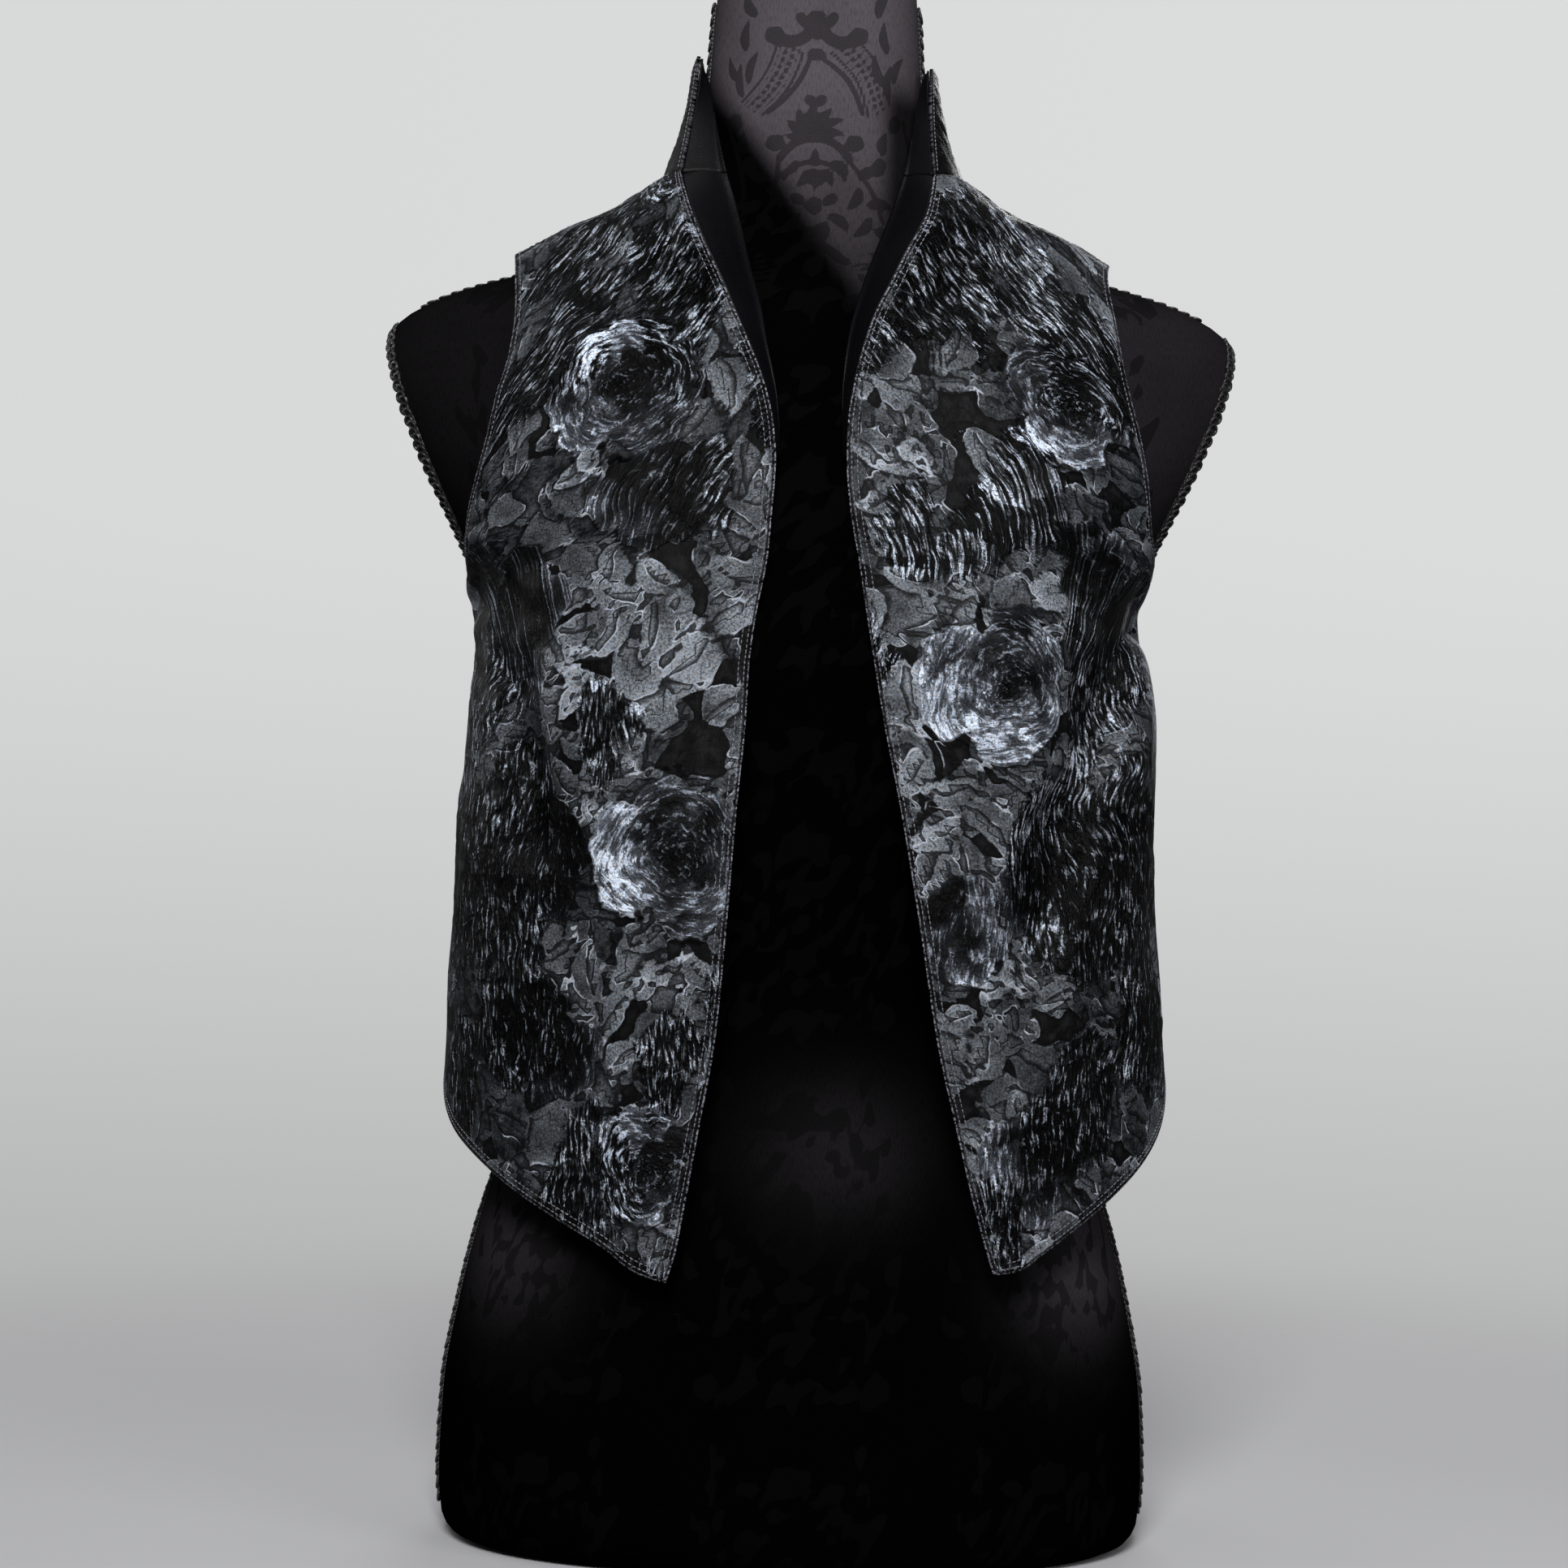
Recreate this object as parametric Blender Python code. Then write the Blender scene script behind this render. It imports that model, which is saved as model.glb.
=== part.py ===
"""Open waistcoat with a tall stand collar, worn on a limbless dress form.

The model is worked out in millimetres and made in metres. The origin is the middle of the flat base,
+Z is up, the front faces -Y and the viewer's left is -X. Cloth is a thin wall round a middle surface.
"""

import math

import bpy
import numpy as np
from mathutils import Vector
from mathutils.bvhtree import BVHTree

for old in list(bpy.data.objects):
    bpy.data.objects.remove(old, do_unlink=True)

MM = 0.001
LEFT = -1
RIGHT = 1
CLOTH = 1.6
FACING = 1.2
SEAM = 0.3
OVER_FORM = 1.8
UNDERARM_ROOM = 3.6
FORM_POWER = 2.4
CLOTH_POWER = 2.4
BUST_AT = 85.0
BUST_WIDE = 42.0

# What each piece is made of
LOOK_COLUMNS = ("colour", "roughness", "metallic")
LOOKS = {
    "jacquard": ((0.030, 0.030, 0.035), 0.52, 0.0),
    "facing": ((0.016, 0.016, 0.018), 0.60, 0.0),
    "form_cover": ((0.022, 0.020, 0.022), 0.48, 0.0),
    "gimp": ((0.012, 0.012, 0.013), 0.62, 0.0),
}
MADE_OF = {
    "front_left": "jacquard",
    "front_right": "jacquard",
    "back_centre": "jacquard",
    "back_side_left": "jacquard",
    "back_side_right": "jacquard",
    "collar": "jacquard",
    "front_facing_left": "facing",
    "front_facing_right": "facing",
    "collar_facing_left": "facing",
    "collar_facing_right": "facing",
    "form_body": "form_cover",
    "form_neck_cap": "form_cover",
}

# The dress form, a row per level
FORM_COLUMNS = ("z", "width", "front", "back", "bust")
FORM = (
    (0, 160, 98, 106, 0),
    (3, 166, 104, 112, 0),
    (10, 170, 109, 117, 0),
    (30, 171.5, 111, 120, 0),
    (70, 170, 109, 121, 0),
    (110, 163.5, 104, 117, 0),
    (150, 154, 98, 109, 0),
    (180, 144.5, 93, 103, 0),
    (205, 137, 89, 98, 0),
    (225, 130, 87, 95, 0),
    (250, 123.5, 85, 91, 0),
    (272, 121.5, 84, 89, 0),
    (295, 123.5, 86, 89, 0),
    (320, 128, 89, 91, 0),
    (345, 134.5, 93, 94, 2),
    (370, 142, 97, 97, 6),
    (400, 148.5, 101, 101, 15),
    (425, 151, 104, 104, 19),
    (437, 152.5, 104, 105, 18),
    (450, 154.5, 104, 106, 16),
    (464, 158, 103, 107, 12),
)

# The form above the underarm: the flat arm plate cuts the section at plate_x
SHOULDER = (
    (588, 202, 71, 89, 0),
    (592, 197, 69, 86, 0),
    (596, 190, 67, 84, 0),
    (602, 176, 65, 81, 0),
    (607, 160.5, 63, 79, 0),
    (611.7, 144, 62, 77, 0),
    (620, 131, 61, 74, 0),
    (627, 118, 60, 72, 0),
    (633.5, 105, 60, 70, 0),
    (640, 93, 60, 68, 0),
    (646, 84, 60, 66, 0),
    (651.5, 76, 60, 64, 0),
    (657, 70, 60, 62, 0),
    (664, 64.5, 60, 59, 0),
    (672, 60, 59.5, 57, 0),
    (685, 55.5, 59, 54, 0),
    (700, 52.5, 59, 52, 0),
    (718, 51, 59, 50, 0),
    (735, 50, 59, 48, 0),
    (750, 49, 58.5, 47, 0),
)

# Chest depth behind and before the arm plates
CHEST = (
    (475, 0, 102, 107, 9),
    (490, 0, 100, 108, 5),
    (508, 0, 97, 108, 2),
    (526, 0, 93, 107, 0),
    (540, 0, 89.5, 105.5, 0),
    (554, 0, 85, 102.5, 0),
    (567, 0, 80.5, 98.5, 0),
    (577, 0, 76, 94.5, 0),
    (583, 0, 73, 91.5, 0),
)

# Arm plate: how far out the plate is at each level
PLATE_COLUMNS = ("z", "x")
PLATE = (
    (464, 158), (475, 163), (490, 169.5), (509, 178.5), (528, 187),
    (548, 195), (565, 200.5), (573, 202.2), (584, 203), (588, 202),
)
PLATE_MIDDLE = 526.0
PLATE_TALL = 62.0
PLATE_DEEP = 43.0
PLATE_LEAST = 9.0

# Middle surface of the cloth, a row per level, with the two sides' half widths
CLOTH_COLUMNS = ("z", "left", "right", "front", "back", "bust")
GARMENT = (
    (120, 174, 182, 117, 105, 0),
    (226, 171.6, 179.2, 118, 106, 0),
    (246, 170.6, 177.6, 118.5, 106, 0),
    (272, 170, 175.4, 119, 106, 1),
    (311, 168.4, 170.6, 118, 107, 3),
    (349, 166.3, 169, 115.5, 108, 6),
    (373, 164, 169.3, 113, 108.5, 10),
    (400, 161.4, 168.4, 110, 109, 14.5),
    (425, 159.4, 166.6, 108.5, 110, 17),
    (450, 159.6, 163.4, 108, 111, 16),
    (467, 161.5, 165.4, 108, 115, 12),
    (480, 171, 173, 108, 117, 9),
    (500, 187, 188, 105, 117, 4),
    (520, 201, 201, 100, 114, 1),
    (540, 210, 210, 95, 112, 0),
    (560, 213, 213, 88, 107, 0),
    (575, 213, 213, 82.5, 101, 0),
    (588, 209, 209, 76.5, 95, 0),
    (598, 201, 201, 72.5, 89, 0),
    (605, 188, 188, 70.5, 86, 0),
    (611, 172, 172, 69, 84, 0),
    (616, 158, 158, 68, 82, 0),
    (621.8, 144, 144, 67, 80, 0),
    (629, 131.4, 131.4, 66, 77.5, 0),
    (635, 118, 118, 65.5, 75.5, 0),
    (640, 105, 105, 65, 74, 0),
    (646, 93.5, 93.5, 64.5, 72, 0),
    (652.5, 83.5, 83.5, 64, 70, 0),
    (657, 76, 76, 64, 68, 0),
    (659.2, 71, 71, 64, 66, 0),
)

# Front edge as the photo shows it, with the distance it stands off the chest
EDGE_COLUMNS = ("z", "left", "right", "flare")
EDGE = (
    (136, 59, 94, 0),
    (143, 56.4, 91, 0),
    (171, 51, 82, 0),
    (205, 45.4, 73.6, 0),
    (249, 38.2, 63.2, 0),
    (303, 33.8, 54.1, 0),
    (353, 30.5, 45, 0.5),
    (394, 27.1, 36.5, 1),
    (420, 26, 31.8, 2),
    (445, 23, 27.4, 2),
    (470, 18.4, 23.2, 3),
    (493, 16.7, 19, 3),
    (515, 15.5, 17.1, 4),
    (531, 16.8, 17.2, 6),
    (550, 21, 19.6, 8),
    (568, 28, 23.6, 12),
    (584, 35.2, 28.7, 16),
    (600, 42.2, 36.3, 20),
    (616, 50, 43.9, 22),
    (633, 57, 52.4, 21),
    (645, 60.8, 55, 18),
    (655.5, 63.5, 56.4, 14),
)
FLARE_WIDE = 30.0

# Armhole of the front, of the back, and the long seams of the back, seen from the front
OUTLINE_COLUMNS = ("z", "armhole_left", "armhole_right", "armhole_back", "princess")
OUTLINE = (
    (120, 160, 164, 160, 84),
    (226, 160, 164, 160, 80),
    (300, 160, 164, 160, 76),
    (360, 160, 164, 160, 76),
    (459, 159.6, 164.4, 159.6, 82),
    (470, 161, 165.6, 159, 83),
    (493, 160.5, 162.4, 152, 86),
    (510, 156, 160, 146, 88),
    (530, 151, 156, 141, 91),
    (551, 146.5, 150.5, 137, 94),
    (562, 143, 148, 136, 96),
    (585, 140.4, 144.2, 135, 99),
    (610, 142, 141, 139, 102.5),
    (621.8, 144, 144, 144, 104),
    (640, 144, 144, 144, 105),
)
UNDERARM = {LEFT: 458.5, RIGHT: 460.5}

# Hem of a front, as a share of the way from the front edge to the side seam
HEM_COLUMNS = ("share", "left", "right")
HEM = (
    (0, 136.5, 142),
    (0.06, 140, 143),
    (0.14, 151, 151),
    (0.26, 162, 163),
    (0.4, 175, 176),
    (0.54, 187, 188),
    (0.7, 199, 202),
    (0.85, 212, 216),
    (1, 225.5, 229),
)
SIDE_SEAM = 92.0
NECK_SHOULDER = (71.0, 659.2)
SHOULDER_END = (144.0, 621.8)
PRINCESS_TOP = (105.0, 640.0)
BACK_NECK = 650.5
EDGE_TOP = {LEFT: (63.5, 655.5), RIGHT: (56.4, 655.5)}
MIDDLE_AT_EDGE = {LEFT: 462.0, RIGHT: 462.0}

UPPER_ROWS = 11
LOWER_ROWS = 12
NECK_COLUMNS = 4
SHOULDER_COLUMNS = 4
BACK_NECK_COLUMNS = 5
COLLAR_ROWS = 4
FACING_COLUMNS = 3

# Largest folds: side, front or back, the two ends in x and z, depth outward and half width
FOLD_COLUMNS = ("side", "half", "x0", "z0", "x1", "z1", "depth", "wide")
FOLDS = (
    (LEFT, "front", 156, 470, 136, 420, -5.0, 10),
    (LEFT, "front", 136, 420, 122, 340, -5.0, 13),
    (LEFT, "front", 118, 450, 100, 350, 3.0, 16),
    (LEFT, "front", 150, 400, 152, 260, 2.5, 14),
    (LEFT, "front", 96, 300, 104, 170, -2.5, 18),
    (RIGHT, "front", 160, 452, 138, 413, -7.0, 12),
    (RIGHT, "front", 138, 413, 120, 350, -9.0, 15),
    (RIGHT, "front", 120, 350, 106, 290, -7.0, 17),
    (RIGHT, "front", 108, 440, 88, 330, 3.5, 18),
    (RIGHT, "front", 158, 400, 150, 260, 4.0, 16),
    (RIGHT, "front", 84, 280, 92, 170, 2.0, 18),
    (LEFT, "back", 48, 420, 40, 230, 3.5, 16),
    (LEFT, "back", 112, 440, 104, 240, -4.0, 15),
    (RIGHT, "back", 42, 400, 52, 230, 3.0, 17),
    (RIGHT, "back", 116, 450, 100, 260, -4.5, 14),
    (RIGHT, "back", 8, 470, 4, 250, -2.5, 16),
)

# Collar: its top edge, from the front tip round the side to the back
COLLAR_COLUMNS = ("share", "x_left", "x_right", "y", "z_left", "z_right")
COLLAR = (
    (0, 56.6, 55.6, -31, 716.5, 712.5),
    (0.1, 58.2, 57.2, -22, 715, 713),
    (0.22, 59.6, 58.8, -8, 713.5, 713),
    (0.36, 58.8, 58.6, 12, 713, 713),
    (0.55, 50.5, 50.5, 35, 713.5, 713.5),
    (0.78, 29, 29, 53.5, 714.5, 714.5),
    (1, 0, 0, 59.5, 715, 715),
)
COLLAR_HOLLOW = 1.2

# Where the facing meets the form, as far across as the photo shows it
FACING_COLUMNS_NAMED = ("z", "left", "right")
FACING_REACH = (
    (505, 14.5, 16),
    (520, 13.6, 15),
    (545, 15.5, 14.6),
    (572, 21, 17),
    (591, 24.5, 21),
    (608, 29, 26),
    (630, 34, 34),
    (642, 37, 38),
    (655, 40.5, 41.5),
    (675, 44.5, 44.5),
    (689, 47, 46.5),
    (704, 50, 49.5),
    (712, 51.5, 51),
)
FACING_LOW = 508.0
GIMP_WIDE = 8.0
GIMP_THICK = 3.0
GIMP_GAP = 0.3


def column(table, names, name):
    """One named column of a table, as an array."""
    place = names.index(name)
    return np.array([row[place] for row in table], float)


def smooth(at, known, values):
    """A curve through the values with no overshoot, read at one place."""
    at = min(max(at, known[0]), known[-1])
    i = int(min(max(np.searchsorted(known, at) - 1, 0), len(known) - 2))
    step = np.diff(known)
    slope = np.diff(values) / step

    def tangent(k):
        if k == 0 or k == len(known) - 1:
            return slope[0] if k == 0 else slope[-1]
        a = slope[k - 1]
        b = slope[k]
        return 0.0 if a * b <= 0 else 2 * a * b / (a + b)

    t = (at - known[i]) / step[i]
    h00 = (1 + 2 * t) * (1 - t) ** 2
    h10 = t * (1 - t) ** 2
    h01 = t * t * (3 - 2 * t)
    h11 = t * t * (t - 1)
    return (
        h00 * values[i]
        + h10 * step[i] * tangent(i)
        + h01 * values[i + 1]
        + h11 * step[i] * tangent(i + 1)
    )


def read(table, names, name, at):
    """A named column read smoothly at a value of the first column."""
    return float(smooth(at, column(table, names, names[0]), column(table, names, name)))


def ease(t):
    """Runs from 0 to 1 with level ends."""
    t = min(max(t, 0.0), 1.0)
    return t * t * (3 - 2 * t)


def mix(a, b, t):
    return a + (b - a) * t


def plate_x(z):
    return read(PLATE, PLATE_COLUMNS, "x", z)


def plate_depth(z):
    """Half the depth of the arm plate at a level, never quite nothing."""
    inside = 1 - ((z - PLATE_MIDDLE) / PLATE_TALL) ** 2
    return max(PLATE_DEEP * math.sqrt(max(inside, 0)), PLATE_LEAST)


def form_table():
    """The whole form, with the width above the underarm worked out from the arm plate."""
    rows = list(FORM)
    for z, _, front, back, bust in CHEST:
        share = plate_depth(z) / min(front, back)
        width = plate_x(z) / (1 - share**FORM_POWER) ** (1 / FORM_POWER)
        rows.append((z, width, front, back, bust))
    rows.extend(SHOULDER)
    return tuple(rows)


FORM_TABLE = form_table()


def power(value, exponent):
    return math.copysign(abs(value) ** exponent, value)


def form_point(angle, z):
    """A point of the form at an angle from the front (degrees) and a level."""
    a = math.radians(angle)
    width = read(FORM_TABLE, FORM_COLUMNS, "width", z)
    front = read(FORM_TABLE, FORM_COLUMNS, "front", z)
    back = read(FORM_TABLE, FORM_COLUMNS, "back", z)
    bust = read(FORM_TABLE, FORM_COLUMNS, "bust", z)
    x = width * power(math.sin(a), 2 / FORM_POWER)
    ahead = math.cos(a)
    y = -(front if ahead > 0 else back) * power(ahead, 2 / FORM_POWER)
    if ahead > 0:
        y -= bust * math.exp(-(((abs(x) - BUST_AT) / BUST_WIDE) ** 2)) * min(ahead * 3, 1)
    if PLATE[0][0] <= z <= PLATE[-1][0]:
        x = math.copysign(min(abs(x), plate_x(z)), x)
    return np.array([x, y, z])


def plate_angle(z, back):
    """The angle at which the arm plate starts, so that a column of points lies on its edge."""
    deep = read(FORM_TABLE, FORM_COLUMNS, "back" if back else "front", z)
    half = plate_depth(min(max(z, PLATE[0][0]), PLATE[-1][0]))
    if z > PLATE[-1][0]:
        half = PLATE_LEAST
    if z < PLATE[0][0]:
        half = mix(PLATE_LEAST, 22, ease((PLATE[0][0] - z) / 60))
    return math.degrees(math.acos(min((half / deep) ** (FORM_POWER / 2), 1)))


def form_angles(z):
    """The angles of one ring of the form: front, plate, back, and the same on the other side."""
    front = plate_angle(z, False)
    back = 180 - plate_angle(z, True)
    half = list(np.linspace(0, front, 8)[:-1])
    half += list(np.linspace(front, 90, 3)[:-1])
    half += list(np.linspace(90, back, 3)[:-1])
    half += list(np.linspace(back, 180, 8))
    return half + [-a for a in reversed(half[1:-1])]


def form_levels():
    levels = [row[0] for row in FORM_TABLE]
    return sorted(set(levels) - {205, 345, 295})


def make(name, points, faces):
    """One closed object from points in millimetres, placed at the middle of its box, with its faces turned out."""
    points = np.array([tuple(float(v) for v in p) for p in points])
    middle = (points.min(axis=0) + points.max(axis=0)) / 2
    mesh = bpy.data.meshes.new(name)
    mesh.from_pydata([tuple((p - middle) * MM) for p in points], [], faces)
    mesh.validate()
    made = bpy.data.objects.new(name, mesh)
    made.location = tuple(middle * MM)
    made.parent = WORN if name in MADE_OF and not name.startswith("form") else STAND
    bpy.context.scene.collection.objects.link(made)
    if volume(points, faces) < 0:
        mesh.flip_normals()
    mesh.shade_smooth()
    mesh.set_sharp_from_angle(angle=math.radians(40))
    mesh.materials.append(material(name, MADE_OF.get(name, "gimp")))
    return made


def material(name, look):
    """The piece's own material, with the values of what it is made of."""
    values = dict(zip(LOOK_COLUMNS, LOOKS[look]))
    made = bpy.data.materials.new(name)
    made.use_nodes = True
    shader = made.node_tree.nodes["Principled BSDF"]
    shader.inputs["Base Color"].default_value = (*values["colour"], 1.0)
    shader.inputs["Roughness"].default_value = values["roughness"]
    shader.inputs["Metallic"].default_value = values["metallic"]
    return made


def empty(name):
    """A plain axis at the origin, which holds the pieces of one half of the object."""
    made = bpy.data.objects.new(name, None)
    bpy.context.scene.collection.objects.link(made)
    return made


def volume(points, faces):
    """Six times the volume, whose sign tells which way the faces look."""
    total = 0.0
    for face in faces:
        a = np.asarray(points[face[0]])
        for i in range(1, len(face) - 1):
            b = np.asarray(points[face[i]])
            c = np.asarray(points[face[i + 1]])
            total += float(np.dot(a, np.cross(b, c)))
    return total


def stacked(rings, bottom, top):
    """A closed body from rings of equal length and a middle point at either end."""
    count = len(rings[0])
    points = [p for ring in rings for p in ring]
    faces = []
    for r in range(len(rings) - 1):
        for c in range(count):
            d = (c + 1) % count
            faces.append((r * count + c, r * count + d, (r + 1) * count + d, (r + 1) * count + c))
    points.append(bottom)
    points.append(top)
    last = (len(rings) - 1) * count
    for c in range(count):
        d = (c + 1) % count
        faces.append((len(points) - 2, d, c))
        faces.append((len(points) - 1, last + c, last + d))
    return points, faces


def form_body():
    rings = [[form_point(a, z) for a in form_angles(z)] for z in form_levels()]
    return stacked(rings, np.array([0, 0, 0.0]), np.array([0, -6, 750.0]))


def form_cap():
    """The cap that closes the neck, a shallow dome."""
    rings = []
    for lift, share in ((GIMP_GAP, 1.0), (4.0, 1.0), (7.0, 0.9), (8.6, 0.62)):
        ring = []
        for angle in np.linspace(0, 360, 28, endpoint=False):
            p = form_point(angle if angle <= 180 else angle - 360, 750)
            ring.append(np.array([p[0] * share, mix(-6, p[1], share), 750 + lift]))
        rings.append(ring)
    return stacked(rings, np.array([0, -6, 750 + GIMP_GAP]), np.array([0, -6, 759.2]))


POINTS, FACES = form_body()
SEAT = BVHTree.FromPolygons([Vector(p) for p in POINTS], FACES)


def seated(p, room):
    """A point held at least this far off the form, and off the braid along its side and shoulder lines."""
    room = room + (GIMP_GAP + GIMP_THICK) * (1 - ease((abs(p[1]) - GIMP_WIDE * 0.7) / 14))
    if abs(p[0]) > 120:
        room = room + UNDERARM_ROOM * math.exp(-(((p[2] - 480) / 18) ** 2))
    near, normal, _, distance = SEAT.find_nearest(Vector(p))
    if near is None:
        return p
    outside = (Vector(p) - near).dot(normal)
    if outside >= 0 and distance >= room:
        return p
    return np.array(near + normal * room)


def cloth_value(name, z):
    return read(GARMENT, CLOTH_COLUMNS, name, z)


def half_width(side, z):
    return cloth_value("left" if side == LEFT else "right", z)


def edge_x(side, z):
    return read(EDGE, EDGE_COLUMNS, "left" if side == LEFT else "right", z)


def fold_depth(side, half, x, z):
    """How far the folds move the cloth outward at a place."""
    total = 0.0
    for fold_side, fold_half, x0, z0, x1, z1, depth, wide in FOLDS:
        if fold_side != side or fold_half != half:
            continue
        dx = x1 - x0
        dz = z1 - z0
        t = ((x - x0) * dx + (z - z0) * dz) / (dx * dx + dz * dz)
        held = min(max(t, 0.0), 1.0)
        away = math.hypot(x - x0 - held * dx, z - z0 - held * dz)
        total += depth * math.exp(-((away / wide) ** 2))
    return total


def angle_of(side, x, z):
    """The angle from the middle at which the cloth is this far across."""
    share = min(max(x / half_width(side, z), 0.0), 1.0)
    return math.degrees(math.asin(share ** (CLOTH_POWER / 2)))


def cloth_point(side, half, angle, z):
    """A point of the cloth's middle surface, at an angle from the middle of the front or the back."""
    a = math.radians(angle)
    x = half_width(side, z) * power(math.sin(a), 2 / CLOTH_POWER)
    ahead = math.cos(a)
    facing = "front" if (ahead >= 0) == (half == "front") else "back"
    reach = cloth_value(facing, z) * abs(ahead) ** (2 / CLOTH_POWER)
    if facing == "front":
        reach += cloth_value("bust", z) * math.exp(-(((x - BUST_AT) / BUST_WIDE) ** 2)) * min(abs(ahead) * 3, 1)
        off = max(x - edge_x(side, z), 0)
        reach += read(EDGE, EDGE_COLUMNS, "flare", z) * math.exp(-((off / FLARE_WIDE) ** 1.4)) * min(abs(ahead) * 2, 1)
    y = -reach if facing == "front" else reach
    fold = fold_depth(side, facing, x, z) * min(1.0, max(0.0, (610 - z) / 60))
    out = np.array([x / half_width(side, z), y / 110.0])
    out = out / max(np.linalg.norm(out), 1e-6)
    return np.array([side * (x + fold * out[0]), y + fold * out[1], z])


def drop(k):
    """The share of the upper block that row k has come down: close rows at the shoulder seam."""
    t = k / UPPER_ROWS
    c = 0.35
    return t * t / (t + c) * (1 + c)


def level(top, middle, hem, k):
    """The level of row k in a column that starts at top and ends at the hem."""
    if k <= UPPER_ROWS:
        return mix(top, middle, drop(k))
    return mix(middle, hem, (k - UPPER_ROWS) / LOWER_ROWS)


def front_top(side):
    """The top of a front: along the neckline, then along the shoulder seam."""
    places = []
    start = EDGE_TOP[side]
    for i in range(NECK_COLUMNS):
        t = i / NECK_COLUMNS
        places.append((mix(start[0], NECK_SHOULDER[0], t**0.8), mix(start[1], NECK_SHOULDER[1], t)))
    neck_part = shoulder_places(NECK_SHOULDER, PRINCESS_TOP)
    return places + neck_part[:-1] + shoulder_places(PRINCESS_TOP, SHOULDER_END)


def shoulder_places(start, end):
    """Places on the shoulder seam from start to end, with the level read from the cloth."""
    places = []
    for i in range(SHOULDER_COLUMNS + 1):
        x = mix(start[0], end[0], i / SHOULDER_COLUMNS)
        places.append((x, ridge(x)))
    return places


def ridge(x):
    """The level of the shoulder seam where it is this far across."""
    widths = column(GARMENT, CLOTH_COLUMNS, "left")[::-1]
    levels = column(GARMENT, CLOTH_COLUMNS, "z")[::-1]
    keep = levels >= 598
    return float(np.interp(x, widths[keep], levels[keep]))


def side_angle(side, half, z):
    """The angle of the armhole, and below the underarm that of the side seam."""
    seam = SIDE_SEAM if half == "front" else 180 - SIDE_SEAM
    low = UNDERARM[side]
    if z <= low:
        return seam
    name = "armhole_back" if half == "back" else ("armhole_left" if side == LEFT else "armhole_right")
    angle = angle_of(side, read(OUTLINE, OUTLINE_COLUMNS, name, z), z)
    return mix(seam, angle, ease((z - low) / 12))


def block_grid(side, half, places, inner_x, hem_at, share_at, to_side):
    """A grid of the middle surface, a row per level, from the inner line to the outer one."""
    grid = []
    count = len(places) - 1
    top_span = places[-1][0] - places[0][0]
    for k in range(UPPER_ROWS + LOWER_ROWS + 1):
        settled = ease(min(k / UPPER_ROWS, 1.0) * 1.4)
        row = []
        ends = []
        for place, u in ((places[0], 0.0), (places[-1], 1.0)):
            ends.append(level(place[1], share_at(u), hem_at(u), k))
        x_in = inner_x(ends[0])
        a_in = angle_of(side, x_in, ends[0])
        a_out = to_side(ends[1])
        for i, (x_top, z_top) in enumerate(places):
            u = i / count
            z = level(z_top, share_at(u), hem_at(u), k)
            even = mix(a_in, a_out, u)
            at_top = (x_top - places[0][0]) / top_span
            x_out = half_width(side, ends[1]) * power(math.sin(math.radians(min(a_out, 90))), 2 / CLOTH_POWER)
            across = angle_of(side, mix(x_in, x_out, mix(at_top, u, settled)), z)
            if k == 0:
                across = 90.0 if x_top >= NECK_SHOULDER[0] - 0.01 else angle_of(side, x_top, z)
            angle = even if i in (0, count) and k > 0 else mix(across, even, ease(settled))
            if k == 0:
                angle = across
            row.append(cloth_point(side, half, angle, z))
        grid.append(row)
    return np.array(grid)


def front_grid(side):
    low = UNDERARM[side]
    name = "left" if side == LEFT else "right"
    return block_grid(
        side,
        "front",
        front_top(side),
        lambda z: edge_x(side, z),
        lambda u: read(HEM, HEM_COLUMNS, name, u),
        lambda u: mix(MIDDLE_AT_EDGE[side], low, ease(u)),
        lambda z: side_angle(side, "front", z),
    )


def princess_x(z):
    return read(OUTLINE, OUTLINE_COLUMNS, "princess", z)


def back_hem(side, u):
    """The back hem, nearly level, from the middle (0) to the side seam (2)."""
    end = HEM[-1][1] if side == LEFT else HEM[-1][2]
    return mix(227.0, end, ease(u / 2))


def back_middle(side, u):
    return mix(470.0, UNDERARM[side], ease(u / 2))


def side_back_grid(side):
    return block_grid(
        side,
        "back",
        shoulder_places(PRINCESS_TOP, SHOULDER_END),
        princess_x,
        lambda u: back_hem(side, 1 + u),
        lambda u: back_middle(side, 1 + u),
        lambda z: side_angle(side, "back", z),
    )


def back_half(side):
    """Half of the centre back, from the middle outward."""
    places = []
    for i in range(BACK_NECK_COLUMNS):
        x = NECK_SHOULDER[0] * math.sin(math.radians(90 * i / BACK_NECK_COLUMNS))
        share = (x / NECK_SHOULDER[0]) ** 3
        places.append((x, mix(BACK_NECK, NECK_SHOULDER[1], share)))
    places += shoulder_places(NECK_SHOULDER, PRINCESS_TOP)
    return block_grid(
        side,
        "back",
        places,
        lambda z: 0.0,
        lambda u: back_hem(side, u),
        lambda u: back_middle(side, u),
        lambda z: angle_of(side, princess_x(z), z),
    )


def back_grid():
    left = back_half(LEFT)[:, ::-1]
    right = back_half(RIGHT)
    return np.concatenate([left[:, :-1], right], axis=1)


def settle(grid, room):
    """Holds every point of a grid off the form."""
    return np.array([[seated(p, room) for p in row] for row in grid])


def normals_of(grid, outward):
    """Unit normals of a grid, turned so that the middle one looks along outward."""
    down = np.gradient(grid, axis=0)
    across = np.gradient(grid, axis=1)
    normal = np.cross(down, across)
    normal /= np.maximum(np.linalg.norm(normal, axis=2, keepdims=True), 1e-9)
    middle = normal[grid.shape[0] // 2, grid.shape[1] // 2]
    return normal if np.dot(middle, outward) > 0 else -normal


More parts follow.
